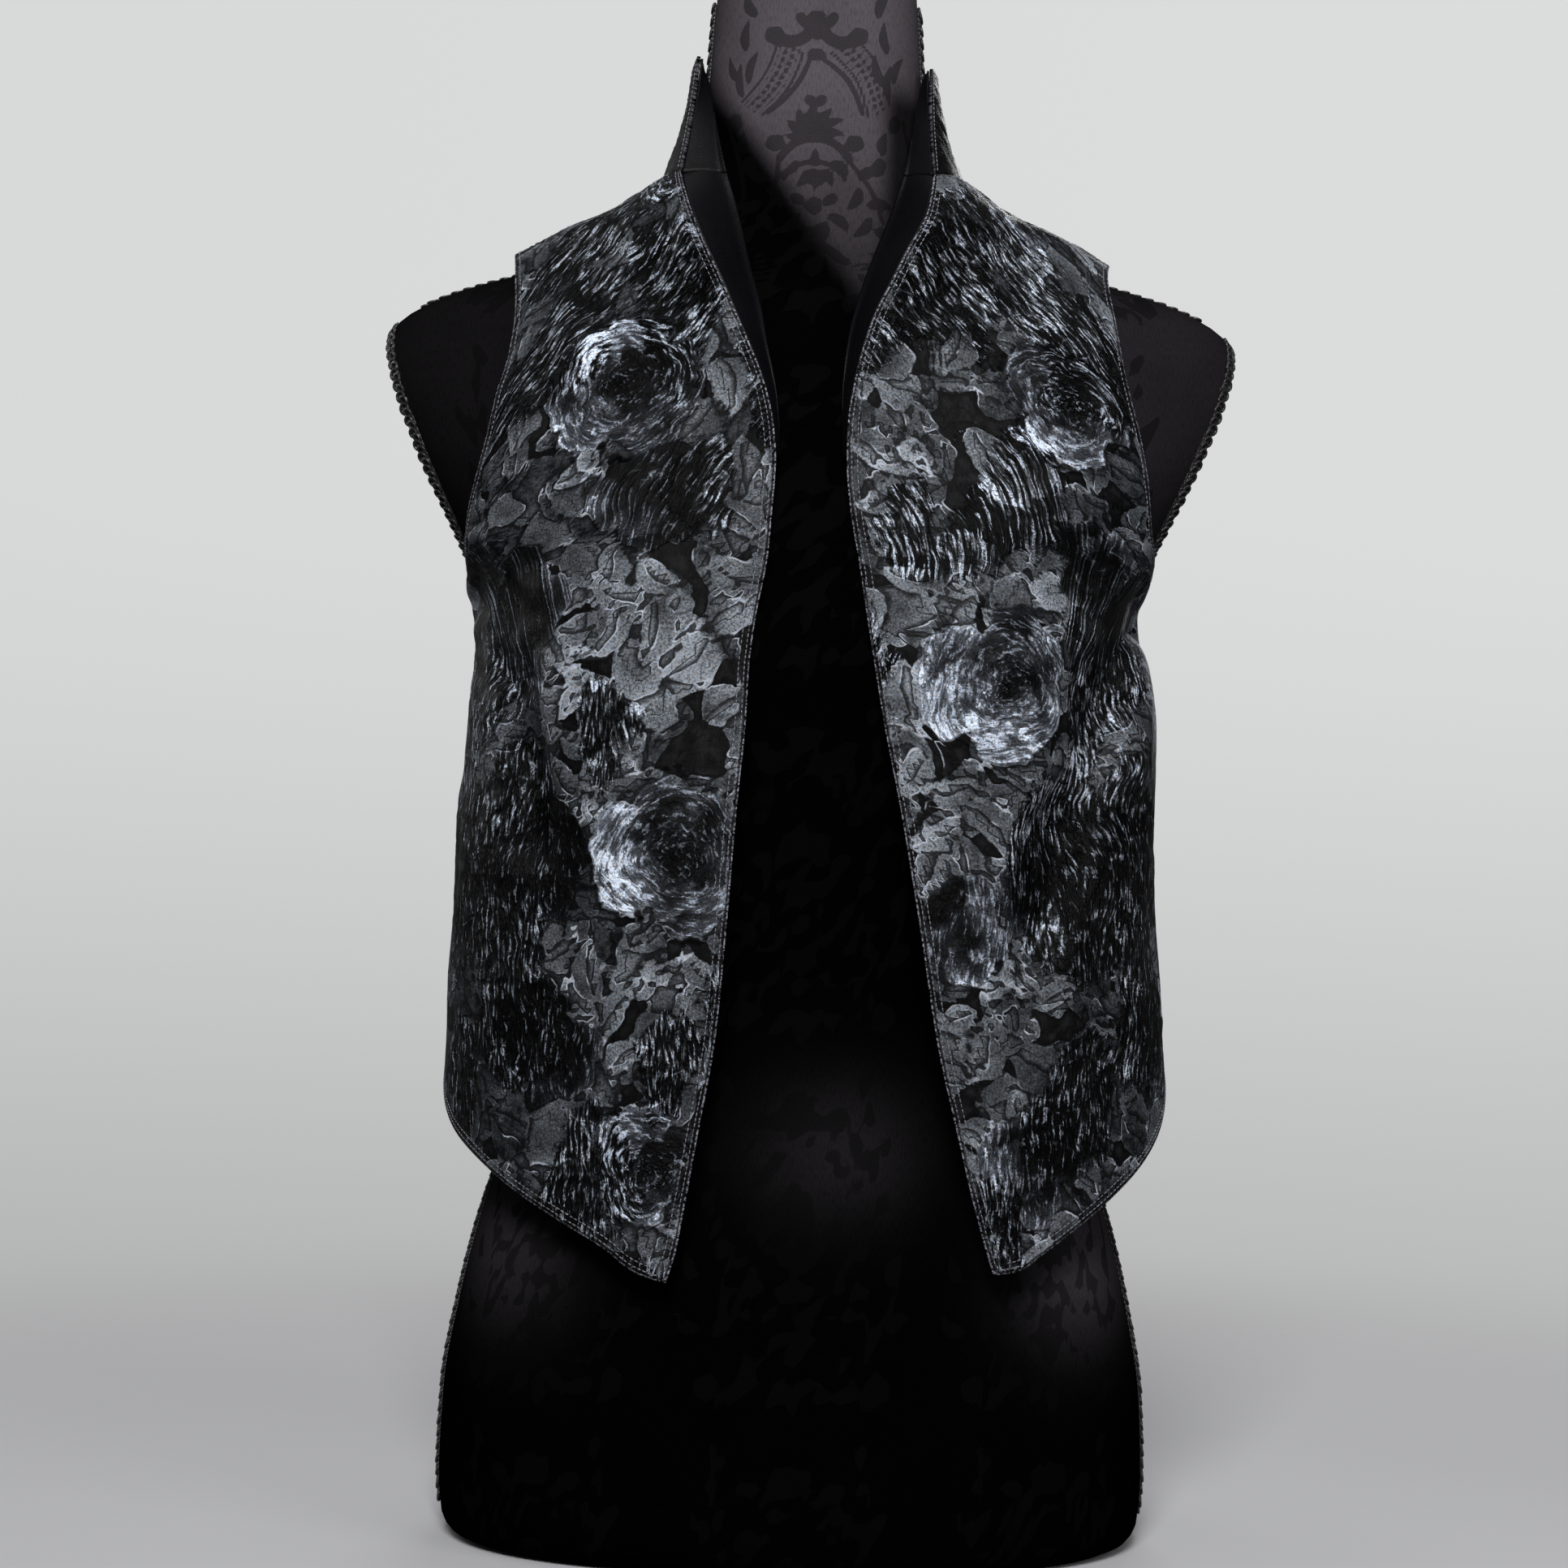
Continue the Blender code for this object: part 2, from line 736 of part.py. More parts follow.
def joined(first, first_at, second, second_at):
    """Gives two lines of normals that meet at a seam the same directions, held to the cloth's depth."""
    both = first[first_at] + second[second_at]
    length = np.linalg.norm(both, axis=-1, keepdims=True)
    unit = both / np.maximum(length, 1e-9)
    share = np.minimum(2 / np.maximum(length, 1e-9), 1.5)
    first[first_at] = unit * share
    second[second_at] = unit * share


def drawn_back(grid, side, by=SEAM / 2):
    """Moves one edge of a grid inward along the cloth, to leave the seam's gap."""
    line = {"first": 0, "last": -1}
    axis, which = side
    edge = [slice(None), slice(None)]
    inner = [slice(None), slice(None)]
    edge[axis] = line[which]
    inner[axis] = 1 if which == "first" else -2
    step = grid[tuple(inner)] - grid[tuple(edge)]
    step /= np.maximum(np.linalg.norm(step, axis=-1, keepdims=True), 1e-9)
    grid[tuple(edge)] = grid[tuple(edge)] + step * by


def wall(name, grid, normals, thick):
    """A closed sheet: an outer and an inner layer with a rim all round."""
    rows, columns = grid.shape[:2]
    outer = (grid + normals * thick / 2).reshape(-1, 3)
    inner = (grid - normals * thick / 2).reshape(-1, 3)
    points = list(outer) + list(inner)
    shift = rows * columns
    faces = []
    for r in range(rows - 1):
        for c in range(columns - 1):
            a = r * columns + c
            corners = (a, a + 1, a + columns + 1, a + columns)
            across = (grid[r, c] + grid[r + 1, c + 1]) - (grid[r, c + 1] + grid[r + 1, c])
            if np.dot(across, normals[r, c] + normals[r + 1, c + 1]) < 0:
                corners = corners[1:] + corners[:1]
            for i, j, k in ((0, 1, 2), (0, 2, 3)):
                faces.append((corners[i], corners[j], corners[k]))
                faces.append((shift + corners[i], shift + corners[k], shift + corners[j]))
    ring = [c for c in range(columns)]
    ring += [r * columns + columns - 1 for r in range(1, rows)]
    ring += [(rows - 1) * columns + c for c in range(columns - 2, -1, -1)]
    ring += [r * columns for r in range(rows - 2, 0, -1)]
    for i, a in enumerate(ring):
        b = ring[(i + 1) % len(ring)]
        faces.append((b, a, shift + a, shift + b))
    return make(name, points, faces)


def collar_top(side, t):
    name = "left" if side == LEFT else "right"
    return np.array(
        [
            side * read(COLLAR, COLLAR_COLUMNS, "x_" + name, t),
            read(COLLAR, COLLAR_COLUMNS, "y", t),
            read(COLLAR, COLLAR_COLUMNS, "z_" + name, t),
        ]
    )


def collar_grid(line):
    """The collar, from the neckline up to its top edge, right round from one front edge to the other."""
    count = len(line)
    half = count // 2
    lengths = np.concatenate([[0], np.cumsum(np.linalg.norm(np.diff(line, axis=0), axis=1))])
    grid = []
    for k in range(COLLAR_ROWS + 1):
        t = k / COLLAR_ROWS
        row = []
        for i in range(count):
            side = LEFT if i <= half else RIGHT
            share = lengths[i] / lengths[half] if i <= half else (lengths[-1] - lengths[i]) / (lengths[-1] - lengths[half])
            p = mix(line[i], collar_top(side, share), t)
            inward = np.array([-p[0], -p[1], 0.0]) / max(math.hypot(p[0], p[1]), 1e-6)
            row.append(p + inward * COLLAR_HOLLOW * math.sin(math.pi * t))
        grid.append(row)
    return np.array(grid)


def facing_reach(side, z):
    """The place on the form that a facing reaches at a level."""
    name = "left" if side == LEFT else "right"
    x = read(FACING_REACH, FACING_COLUMNS_NAMED, name, z)
    width = read(FORM_TABLE, FORM_COLUMNS, "width", z)
    angle = math.degrees(math.asin(min(x / width, 1.0) ** (FORM_POWER / 2)))
    return form_point(side * angle, z)


def facing_grid(side, edge, normals, outward, thick):
    """A facing: from just behind an edge of the cloth, in to the form."""
    grid = []
    along = unit_rows(np.gradient(edge, axis=0))
    for p, n, e, t in zip(edge, normals, outward, along):
        end = facing_reach(side, p[2])
        across = np.cross(t, end - p)
        across = across / np.linalg.norm(across)
        behind = CLOTH / 2 + SEAM + abs(np.dot(across, n)) * thick / 2
        start = p - n * behind - e * abs(np.dot(across, e)) * thick / 2
        span = np.linalg.norm(end - start)
        row = []
        for i in range(FACING_COLUMNS + 1):
            t = i / FACING_COLUMNS
            q = mix(start, end, t)
            q = q + n * 0.08 * span * math.sin(math.pi * t)
            row.append(q if i == 0 else seated(q, thick / 2 + OVER_FORM))
        grid.append(row)
    return np.array(grid)


def strip(name, line, out, along_width, gap=GIMP_GAP, wide=GIMP_WIDE, thick=GIMP_THICK, closed=False):
    """A flat braid that lies on a line of points of the form: a rounded section carried along it."""
    section = ((-0.5, 0.0), (-0.34, 0.8), (0.0, 1.0), (0.34, 0.8), (0.5, 0.0))
    rings = []
    for p, n, w in zip(line, out, along_width):
        rings.append([p + n * (gap + thick * b) + w * wide * a for a, b in section])
    count = len(section)
    points = [p for ring in rings for p in ring]
    faces = []
    last = len(rings) if closed else len(rings) - 1
    for r in range(last):
        s = (r + 1) % len(rings)
        for c in range(count):
            d = (c + 1) % count
            faces.append((r * count + c, r * count + d, s * count + d, s * count + c))
    if not closed:
        faces.append(tuple(range(count))[::-1])
        faces.append(tuple((len(rings) - 1) * count + c for c in range(count)))
    return make(name, points, faces)


def side_line(side, levels):
    """The form's side line with its outward directions."""
    line = [form_point(side * 90, z) for z in levels]
    tangent = np.gradient(np.array(line), axis=0)
    out = []
    for t in tangent:
        n = np.array([side * abs(t[2]), 0, abs(t[0])]) if t[0] * side * t[2] < 0 else np.array([side * abs(t[2]), 0, -abs(t[0])])
        out.append(n / np.linalg.norm(n))
    return line, out


def armhole_gimp(name, side):
    line = []
    out = []
    across = []
    for phi in np.linspace(0, 360, 28, endpoint=False):
        s = math.sin(math.radians(phi))
        c = math.cos(math.radians(phi))
        tall = PLATE_TALL - GIMP_WIDE / 2 - 0.5
        deep = PLATE_DEEP - GIMP_WIDE / 2 + 1
        z = PLATE_MIDDLE + tall * c
        line.append(np.array([side * plate_x(z), deep * s, z]))
        slope = (plate_x(z + 1) - plate_x(z - 1)) / 2
        n = np.array([side, 0, -slope]) / math.hypot(1, slope)
        away = np.array([side * slope * c * deep, s * tall, c * deep])
        away -= n * np.dot(away, n)
        out.append(n)
        across.append(away / np.linalg.norm(away))
    return strip(name, line, out, across, gap=2 * GIMP_GAP, closed=True)


def gimps():
    for side, name in ((LEFT, "left"), (RIGHT, "right")):
        armhole_gimp("gimp_armhole_" + name, side)
        levels = [749, 735, 718, 700, 685, 672, 664, 657, 651.5, 646, 640, 633.5, 627, 620, 611.7, 607, 602, 596, 592]
        line, out = side_line(side, levels)
        strip("gimp_shoulder_" + name, line, out, [np.array([0, 1.0, 0])] * len(line))
        levels = [446, 425, 400, 370, 320, 272, 225, 180, 150, 110, 70, 30, 10]
        line, out = side_line(side, levels)
        strip("gimp_side_" + name, line, out, [np.array([0, 1.0, 0])] * len(line))


def waistcoat():
    """Every panel of the waistcoat, with shared directions at the seams so that the rims lie parallel."""
    room = CLOTH / 2 + OVER_FORM
    front = {side: settle(front_grid(side), room) for side in (LEFT, RIGHT)}
    flank = {side: settle(side_back_grid(side), room) for side in (LEFT, RIGHT)}
    back = settle(back_grid(), room)
    corner = NECK_COLUMNS
    left_neck = front[LEFT][0, : corner + 1]
    right_neck = front[RIGHT][0, : corner + 1]
    back_neck = back[0, SHOULDER_COLUMNS : -SHOULDER_COLUMNS]
    line = np.concatenate([left_neck[:-1], back_neck, right_neck[::-1][1:]])
    collar = settle(collar_grid(line), room)
    collar[0] = line

    n_front = {s: normals_of(front[s], np.array([s * 0.3, -1, 0])) for s in front}
    n_flank = {s: normals_of(flank[s], np.array([s * 1.0, 1, 0])) for s in flank}
    n_back = normals_of(back, np.array([0, 1.0, 0]))
    n_collar = normals_of(collar, np.array([0, 1.0, 0]))
    low = UPPER_ROWS
    ends = len(back[0]) - 1
    below = slice(low, None)
    for s in (LEFT, RIGHT):
        joined(n_front[s], (below, -1), n_flank[s], (below, -1))
        princess = 0 if s == LEFT else ends
        joined(n_flank[s], (slice(None), 0), n_back, (slice(None), princess))
        joined(n_front[s], (0, slice(corner + SHOULDER_COLUMNS, None)), n_flank[s], (0, slice(None)))
        if s == LEFT:
            shoulder = slice(SHOULDER_COLUMNS - 1, None, -1)
        else:
            shoulder = slice(ends - SHOULDER_COLUMNS + 1, None)
        joined(n_front[s], (0, slice(corner + 1, corner + SHOULDER_COLUMNS + 1)), n_back, (0, shoulder))
    joined(n_front[LEFT], (0, slice(0, corner)), n_collar, (0, slice(0, corner)))
    joined(n_front[RIGHT], (0, slice(0, corner)), n_collar, (0, slice(-1, -corner - 1, -1)))
    middle = slice(corner + 1, len(line) - corner - 1)
    joined(n_back, (0, slice(SHOULDER_COLUMNS + 1, ends - SHOULDER_COLUMNS)), n_collar, (0, middle))
    at_neck((n_front[LEFT], corner), (n_back, SHOULDER_COLUMNS), (n_collar, corner))
    at_neck((n_front[RIGHT], corner), (n_back, ends - SHOULDER_COLUMNS), (n_collar, len(line) - 1 - corner))

    facings(front, n_front, collar, n_collar)
    for grid in (front[LEFT], front[RIGHT], flank[LEFT], flank[RIGHT]):
        drawn_back(grid, (0, "first"))
        drawn_back(grid, (1, "last"))
    for grid in (flank[LEFT], flank[RIGHT], back):
        drawn_back(grid, (1, "first"))
    drawn_back(back, (1, "last"))
    drawn_back(back, (0, "first"))
    drawn_back(collar, (0, "first"), SEAM * 1.2)
    wall("front_left", front[LEFT], n_front[LEFT], CLOTH)
    wall("front_right", front[RIGHT], n_front[RIGHT], CLOTH)
    wall("back_side_left", flank[LEFT], n_flank[LEFT], CLOTH)
    wall("back_side_right", flank[RIGHT], n_flank[RIGHT], CLOTH)
    wall("back_centre", back, n_back, CLOTH)
    wall("collar", collar, n_collar, CLOTH)


def at_neck(*corners):
    """One shared direction where front, back and collar meet at the neck end of the shoulder seam."""
    total = sum(normals[0, at] / np.linalg.norm(normals[0, at]) for normals, at in corners)
    unit = total / np.linalg.norm(total)
    for normals, at in corners:
        normals[0, at] = unit * 1.1


def facings(front, n_front, collar, n_collar):
    """The inner layer behind the front edges and the collar ends, as far as it shows."""
    for side, name in ((LEFT, "left"), (RIGHT, "right")):
        rows = [k for k in range(len(front[side])) if front[side][k, 0, 2] >= FACING_LOW]
        edge = front[side][rows, 0]
        out = front[side][rows, 0] - front[side][rows, 1]
        out = out / np.linalg.norm(out, axis=1, keepdims=True)
        normal = unit_rows(n_front[side][rows, 0])
        grid = facing_grid(side, edge, normal, out, FACING)
        drawn_back(grid, (0, "first"), SEAM)
        look = np.array([-side * 1.0, -0.6, 0])
        wall("front_facing_" + name, grid, normals_of(grid, look), FACING)
        end = 0 if side == LEFT else -1
        beside = 1 if side == LEFT else -2
        edge = collar[:, end]
        out = collar[:, end] - collar[:, beside]
        out = out / np.linalg.norm(out, axis=1, keepdims=True)
        grid = facing_grid(side, edge, unit_rows(n_collar[:, end]), out, FACING)
        drawn_back(grid, (0, "first"), SEAM)
        drawn_back(grid, (0, "last"), 1.0)
        wall("collar_facing_" + name, grid, normals_of(grid, look), FACING)


def unit_rows(values):
    return values / np.linalg.norm(values, axis=-1, keepdims=True)


STAND = empty("dress_form")
WORN = empty("waistcoat")
make("form_body", POINTS, FACES)
cap_points, cap_faces = form_cap()
make("form_neck_cap", cap_points, cap_faces)
gimps()
waistcoat()
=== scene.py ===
"""The finished look of an open jacquard waistcoat with a tall stand collar, worn on a limbless dress form.

Shapes are worked out in millimetres and made in metres. The origin is the middle of the flat base,
+Z is up, the front faces -Y and the viewer's left is -X. Every cloth is a thin closed shell.
"""

import math

import bmesh
import bpy
import numpy as np
from mathutils import Matrix
from mathutils import Vector
from mathutils.bvhtree import BVHTree


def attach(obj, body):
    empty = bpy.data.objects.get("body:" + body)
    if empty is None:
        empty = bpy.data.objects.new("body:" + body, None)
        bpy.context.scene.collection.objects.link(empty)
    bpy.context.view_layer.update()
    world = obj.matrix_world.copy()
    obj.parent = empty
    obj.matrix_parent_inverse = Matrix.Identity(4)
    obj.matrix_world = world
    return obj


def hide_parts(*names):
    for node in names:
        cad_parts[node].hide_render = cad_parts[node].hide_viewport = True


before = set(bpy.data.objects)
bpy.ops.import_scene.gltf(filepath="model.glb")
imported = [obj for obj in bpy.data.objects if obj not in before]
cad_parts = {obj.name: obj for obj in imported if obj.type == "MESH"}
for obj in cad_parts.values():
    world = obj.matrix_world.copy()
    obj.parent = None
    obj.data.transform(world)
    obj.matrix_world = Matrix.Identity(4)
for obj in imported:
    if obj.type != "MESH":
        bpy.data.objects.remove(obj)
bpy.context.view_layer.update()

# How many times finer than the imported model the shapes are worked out
FINER = 2

# Metres in a millimetre, and the two sides as the camera sees them
MM = 0.001
LEFT = -1
RIGHT = 1
SIDES = ((LEFT, "left"), (RIGHT, "right"))

# Thickness of the cloth and of the facings, a seam's gap, and the cloth's least distance from the form
CLOTH = 1.6
FACING = 1.2
SEAM = 0.3
OVER_FORM = 1.8
UNDERARM_ROOM = 3.6

# How square the level sections are, where 2 is an ellipse
FORM_POWER = 2.4
CLOTH_POWER = 2.4

# How far across the bust lies, and half its width
BUST_AT = 85.0
BUST_WIDE = 42.0

# The dress form, a row per level
FORM_COLUMNS = ("z", "width", "front", "back", "bust")
FORM = (
    (0, 160, 98, 106, 0),
    (3, 166, 104, 112, 0),
    (10, 170, 109, 117, 0),
    (30, 171.5, 111, 120, 0),
    (70, 170, 109, 121, 0),
    (110, 163.5, 104, 117, 0),
    (150, 154, 98, 109, 0),
    (180, 144.5, 93, 103, 0),
    (205, 137, 89, 98, 0),
    (225, 130, 87, 95, 0),
    (250, 123.5, 85, 91, 0),
    (272, 121.5, 84, 89, 0),
    (295, 123.5, 86, 89, 0),
    (320, 128, 89, 91, 0),
    (345, 134.5, 93, 94, 2),
    (370, 142, 97, 97, 6),
    (400, 148.5, 101, 101, 15),
    (425, 151, 104, 104, 19),
    (437, 152.5, 104, 105, 18),
    (450, 154.5, 104, 106, 16),
    (464, 158, 103, 107, 12),
)

# The form above the underarm: the flat arm plate cuts the section at plate_x
SHOULDER = (
    (588, 202, 71, 89, 0),
    (592, 197, 69, 86, 0),
    (596, 190, 67, 84, 0),
    (602, 176, 65, 81, 0),
    (607, 160.5, 63, 79, 0),
    (611.7, 144, 62, 77, 0),
    (620, 131, 61, 74, 0),
    (627, 118, 60, 72, 0),
    (633.5, 105, 60, 70, 0),
    (640, 93, 60, 68, 0),
    (646, 84, 60, 66, 0),
    (651.5, 76, 60, 64, 0),
    (657, 70, 60, 62, 0),
    (664, 64.5, 60, 59, 0),
    (672, 60, 59.5, 57, 0),
    (685, 55.5, 59, 54, 0),
    (700, 52.5, 59, 52, 0),
    (718, 51, 59, 50, 0),
    (735, 50, 59, 48, 0),
    (750, 49, 58.5, 47, 0),
)

# Chest depth behind and before the arm plates
CHEST = (
    (475, 0, 102, 107, 9),
    (490, 0, 100, 108, 5),
    (508, 0, 97, 108, 2),
    (526, 0, 93, 107, 0),
    (540, 0, 89.5, 105.5, 0),
    (554, 0, 85, 102.5, 0),
    (567, 0, 80.5, 98.5, 0),
    (577, 0, 76, 94.5, 0),
    (583, 0, 73, 91.5, 0),
)

# Arm plate: how far out the plate is at each level
PLATE_COLUMNS = ("z", "x")
PLATE = (
    (464, 158),
    (475, 163),
    (490, 169.5),
    (509, 178.5),
    (528, 187),
    (548, 195),
    (565, 200.5),
    (573, 202.2),
    (584, 203),
    (588, 202),
)

# Level of the plate's middle, half its height and depth, and its least half depth
PLATE_MIDDLE = 526.0
PLATE_TALL = 62.0
PLATE_DEEP = 43.0
PLATE_LEAST = 9.0

# Middle surface of the cloth, a row per level, with the two sides' half widths
CLOTH_COLUMNS = ("z", "left", "right", "front", "back", "bust")
GARMENT = (
    (120, 174, 182, 117, 105, 0),
    (226, 171.6, 179.2, 118, 106, 0),
    (246, 170.6, 177.6, 118.5, 106, 0),
    (272, 170, 175.4, 119, 106, 1),
    (311, 168.4, 170.6, 118, 107, 3),
    (349, 166.3, 169, 115.5, 108, 6),
    (373, 164, 169.3, 113, 108.5, 10),
    (400, 161.4, 168.4, 110, 109, 14.5),
    (425, 159.4, 166.6, 108.5, 110, 17),
    (450, 159.6, 163.4, 108, 111, 16),
    (467, 161.5, 165.4, 108, 115, 12),
    (480, 171, 173, 108, 117, 9),
    (500, 187, 188, 105, 117, 4),
    (520, 201, 201, 100, 114, 1),
    (540, 210, 210, 95, 112, 0),
    (560, 213, 213, 88, 107, 0),
    (575, 213, 213, 82.5, 101, 0),
    (588, 209, 209, 76.5, 95, 0),
    (598, 201, 201, 72.5, 89, 0),
    (605, 188, 188, 70.5, 86, 0),
    (611, 172, 172, 69, 84, 0),
    (616, 158, 158, 68, 82, 0),
    (621.8, 144, 144, 67, 80, 0),
    (629, 131.4, 131.4, 66, 77.5, 0),
    (635, 118, 118, 65.5, 75.5, 0),
    (640, 105, 105, 65, 74, 0),
    (646, 93.5, 93.5, 64.5, 72, 0),
    (652.5, 83.5, 83.5, 64, 70, 0),
    (657, 76, 76, 64, 68, 0),
    (659.2, 71, 71, 64, 66, 0),
)

# Front edge as the photo shows it, with the distance it stands off the chest
EDGE_COLUMNS = ("z", "left", "right", "flare")
EDGE = (
    (136, 59, 94, 0),
    (143, 56.4, 91, 0),
    (171, 51, 82, 0),
    (205, 45.4, 73.6, 0),
    (249, 38.2, 63.2, 0),
    (303, 33.8, 54.1, 0),
    (353, 30.5, 45, 0.5),
    (394, 27.1, 36.5, 1),
    (420, 26, 31.8, 2),
    (445, 23, 27.4, 2),
    (470, 18.4, 23.2, 3),
    (493, 16.7, 19, 3),
    (515, 15.5, 17.1, 4),
    (531, 16.8, 17.2, 6),
    (550, 21, 19.6, 8),
    (568, 28, 23.6, 12),
    (584, 35.2, 28.7, 16),
    (600, 42.2, 36.3, 20),
    (616, 50, 43.9, 22),
    (633, 57, 52.4, 21),
    (645, 60.8, 55, 18),
    (655.5, 63.5, 56.4, 14),
)

# How far in from the edge the flare dies out
FLARE_WIDE = 30.0

# Armhole of the front, of the back, and the long seams of the back, seen from the front
OUTLINE_COLUMNS = ("z", "armhole_left", "armhole_right", "armhole_back", "princess")
OUTLINE = (
    (120, 160, 164, 160, 84),
    (226, 160, 164, 160, 80),
    (300, 160, 164, 160, 76),
    (360, 160, 164, 160, 76),
    (459, 159.6, 164.4, 159.6, 82),
    (470, 161, 165.6, 159, 83),
    (493, 160.5, 162.4, 152, 86),
    (510, 156, 160, 146, 88),
    (530, 151, 156, 141, 91),
    (551, 146.5, 150.5, 137, 94),
    (562, 143, 148, 136, 96),
    (585, 140.4, 144.2, 135, 99),
    (610, 142, 141, 139, 102.5),
    (621.8, 144, 144, 144, 104),
    (640, 144, 144, 144, 105),
)

# Level of the underarm point
UNDERARM = {LEFT: 458.5, RIGHT: 460.5}

# Hem of a front, as a share of the way from the front edge to the side seam
HEM_COLUMNS = ("share", "left", "right")
HEM = (
    (0, 136.5, 142),
    (0.06, 140, 143),
    (0.14, 151, 151),
    (0.26, 162, 163),
    (0.4, 175, 176),
    (0.54, 187, 188),
    (0.7, 199, 202),
    (0.85, 212, 216),
    (1, 225.5, 229),
)

# Angle of the side seam in degrees, and places of the cut as x and z
SIDE_SEAM = 92.0
NECK_SHOULDER = (71.0, 659.2)
SHOULDER_END = (144.0, 621.8)
PRINCESS_TOP = (105.0, 640.0)
BACK_NECK = 650.5
EDGE_TOP = {LEFT: (63.5, 655.5), RIGHT: (56.4, 655.5)}
MIDDLE_AT_EDGE = 462.0

# Rows above and below the underarm, and columns of each part of a grid
UPPER_ROWS = 11 * FINER
LOWER_ROWS = 12 * FINER
NECK_COLUMNS = 4 * FINER
SHOULDER_COLUMNS = 4 * FINER
BACK_NECK_COLUMNS = 5 * FINER
COLLAR_ROWS = 4 * FINER
FACING_COLUMNS = 3 * FINER

# Largest folds of each side and half: the two ends in x and z, depth outward and half width
FOLDS = {
    (LEFT, "front"): (
        (156, 470, 136, 420, -5.0, 10),
        (136, 420, 122, 340, -5.0, 13),
        (118, 450, 100, 350, 3.0, 16),
        (150, 400, 152, 260, 2.5, 14),
        (96, 300, 104, 170, -2.5, 18),
    ),
    (RIGHT, "front"): (
        (160, 452, 138, 413, -7.0, 12),
        (138, 413, 120, 350, -9.0, 15),
        (120, 350, 106, 290, -7.0, 17),
        (108, 440, 88, 330, 3.5, 18),
        (158, 400, 150, 260, 4.0, 16),
        (84, 280, 92, 170, 2.0, 18),
    ),
    (LEFT, "back"): (
        (48, 420, 40, 230, 3.5, 16),
        (112, 440, 104, 240, -4.0, 15),
    ),
    (RIGHT, "back"): (
        (42, 400, 52, 230, 3.0, 17),
        (116, 450, 100, 260, -4.5, 14),
        (8, 470, 4, 250, -2.5, 16),
    ),
}

# Collar: its top edge, from the front tip round the side to the back
COLLAR_COLUMNS = ("share", "x_left", "x_right", "y", "z_left", "z_right")
COLLAR = (
    (0, 56.6, 55.6, -31, 716.5, 712.5),
    (0.1, 58.2, 57.2, -22, 715, 713),
    (0.22, 59.6, 58.8, -8, 713.5, 713),
    (0.36, 58.8, 58.6, 12, 713, 713),
    (0.55, 50.5, 50.5, 35, 713.5, 713.5),
    (0.78, 29, 29, 53.5, 714.5, 714.5),
    (1, 0, 0, 59.5, 715, 715),
)

# How far the collar sinks in between its two edges
COLLAR_HOLLOW = 1.2

# Where the facing meets the form, as far across as the photo shows it
FACING_COLUMNS_NAMED = ("z", "left", "right")
FACING_REACH = (
    (505, 14.5, 16),
    (520, 13.6, 15),
    (545, 15.5, 14.6),
    (572, 21, 17),
    (591, 24.5, 21),
    (608, 29, 26),
    (630, 34, 34),
    (642, 37, 38),
    (655, 40.5, 41.5),
    (675, 44.5, 44.5),
    (689, 47, 46.5),
    (704, 50, 49.5),
    (712, 51.5, 51),
)

# Level at which the front facings end
FACING_LOW = 508.0

# The braid's width and thickness, and its gap to the form
GIMP_WIDE = 8.0
GIMP_THICK = 3.0
GIMP_GAP = 0.3


def column(table, names, name):
    """One named column of a table, as an array."""
    place = names.index(name)
    return np.array([row[place] for row in table], float)


def smooth(at, known, values):
    """A curve through the values with no overshoot, read at one place."""
    at = min(max(at, known[0]), known[-1])
    i = int(min(max(np.searchsorted(known, at) - 1, 0), len(known) - 2))
    step = np.diff(known)
    slope = np.diff(values) / step

    def tangent(k):
        if k == 0 or k == len(known) - 1:
            return slope[0] if k == 0 else slope[-1]
        a = slope[k - 1]
        b = slope[k]
        return 0.0 if a * b <= 0 else 2 * a * b / (a + b)

    t = (at - known[i]) / step[i]
    h00 = (1 + 2 * t) * (1 - t) ** 2
    h10 = t * (1 - t) ** 2
    h01 = t * t * (3 - 2 * t)
    h11 = t * t * (t - 1)
    return (
        h00 * values[i]
        + h10 * step[i] * tangent(i)
        + h01 * values[i + 1]
        + h11 * step[i] * tangent(i + 1)
    )


def read(table, names, name, at):
    """A named column read smoothly at a value of the first column."""
    return float(smooth(at, column(table, names, names[0]), column(table, names, name)))


def ease(t):
    """Runs from 0 to 1 with level ends."""
    t = np.clip(t, 0.0, 1.0)
    return t * t * (3 - 2 * t)


def mix(a, b, t):
    return a + (b - a) * t


def plate_x(z):
    return read(PLATE, PLATE_COLUMNS, "x", z)


def plate_depth(z):
    """Half the depth of the arm plate at a level, never quite nothing."""
    inside = 1 - ((z - PLATE_MIDDLE) / PLATE_TALL) ** 2
    return max(PLATE_DEEP * math.sqrt(max(inside, 0)), PLATE_LEAST)


def form_table():
    """The whole form, with the width above the underarm worked out from the arm plate."""
    rows = list(FORM)
    for z, _, front, back, bust in CHEST:
        share = plate_depth(z) / min(front, back)
        width = plate_x(z) / (1 - share**FORM_POWER) ** (1 / FORM_POWER)
        rows.append((z, width, front, back, bust))
    rows.extend(SHOULDER)
    return tuple(rows)


FORM_TABLE = form_table()


def power(value, exponent):
    return math.copysign(abs(value) ** exponent, value)


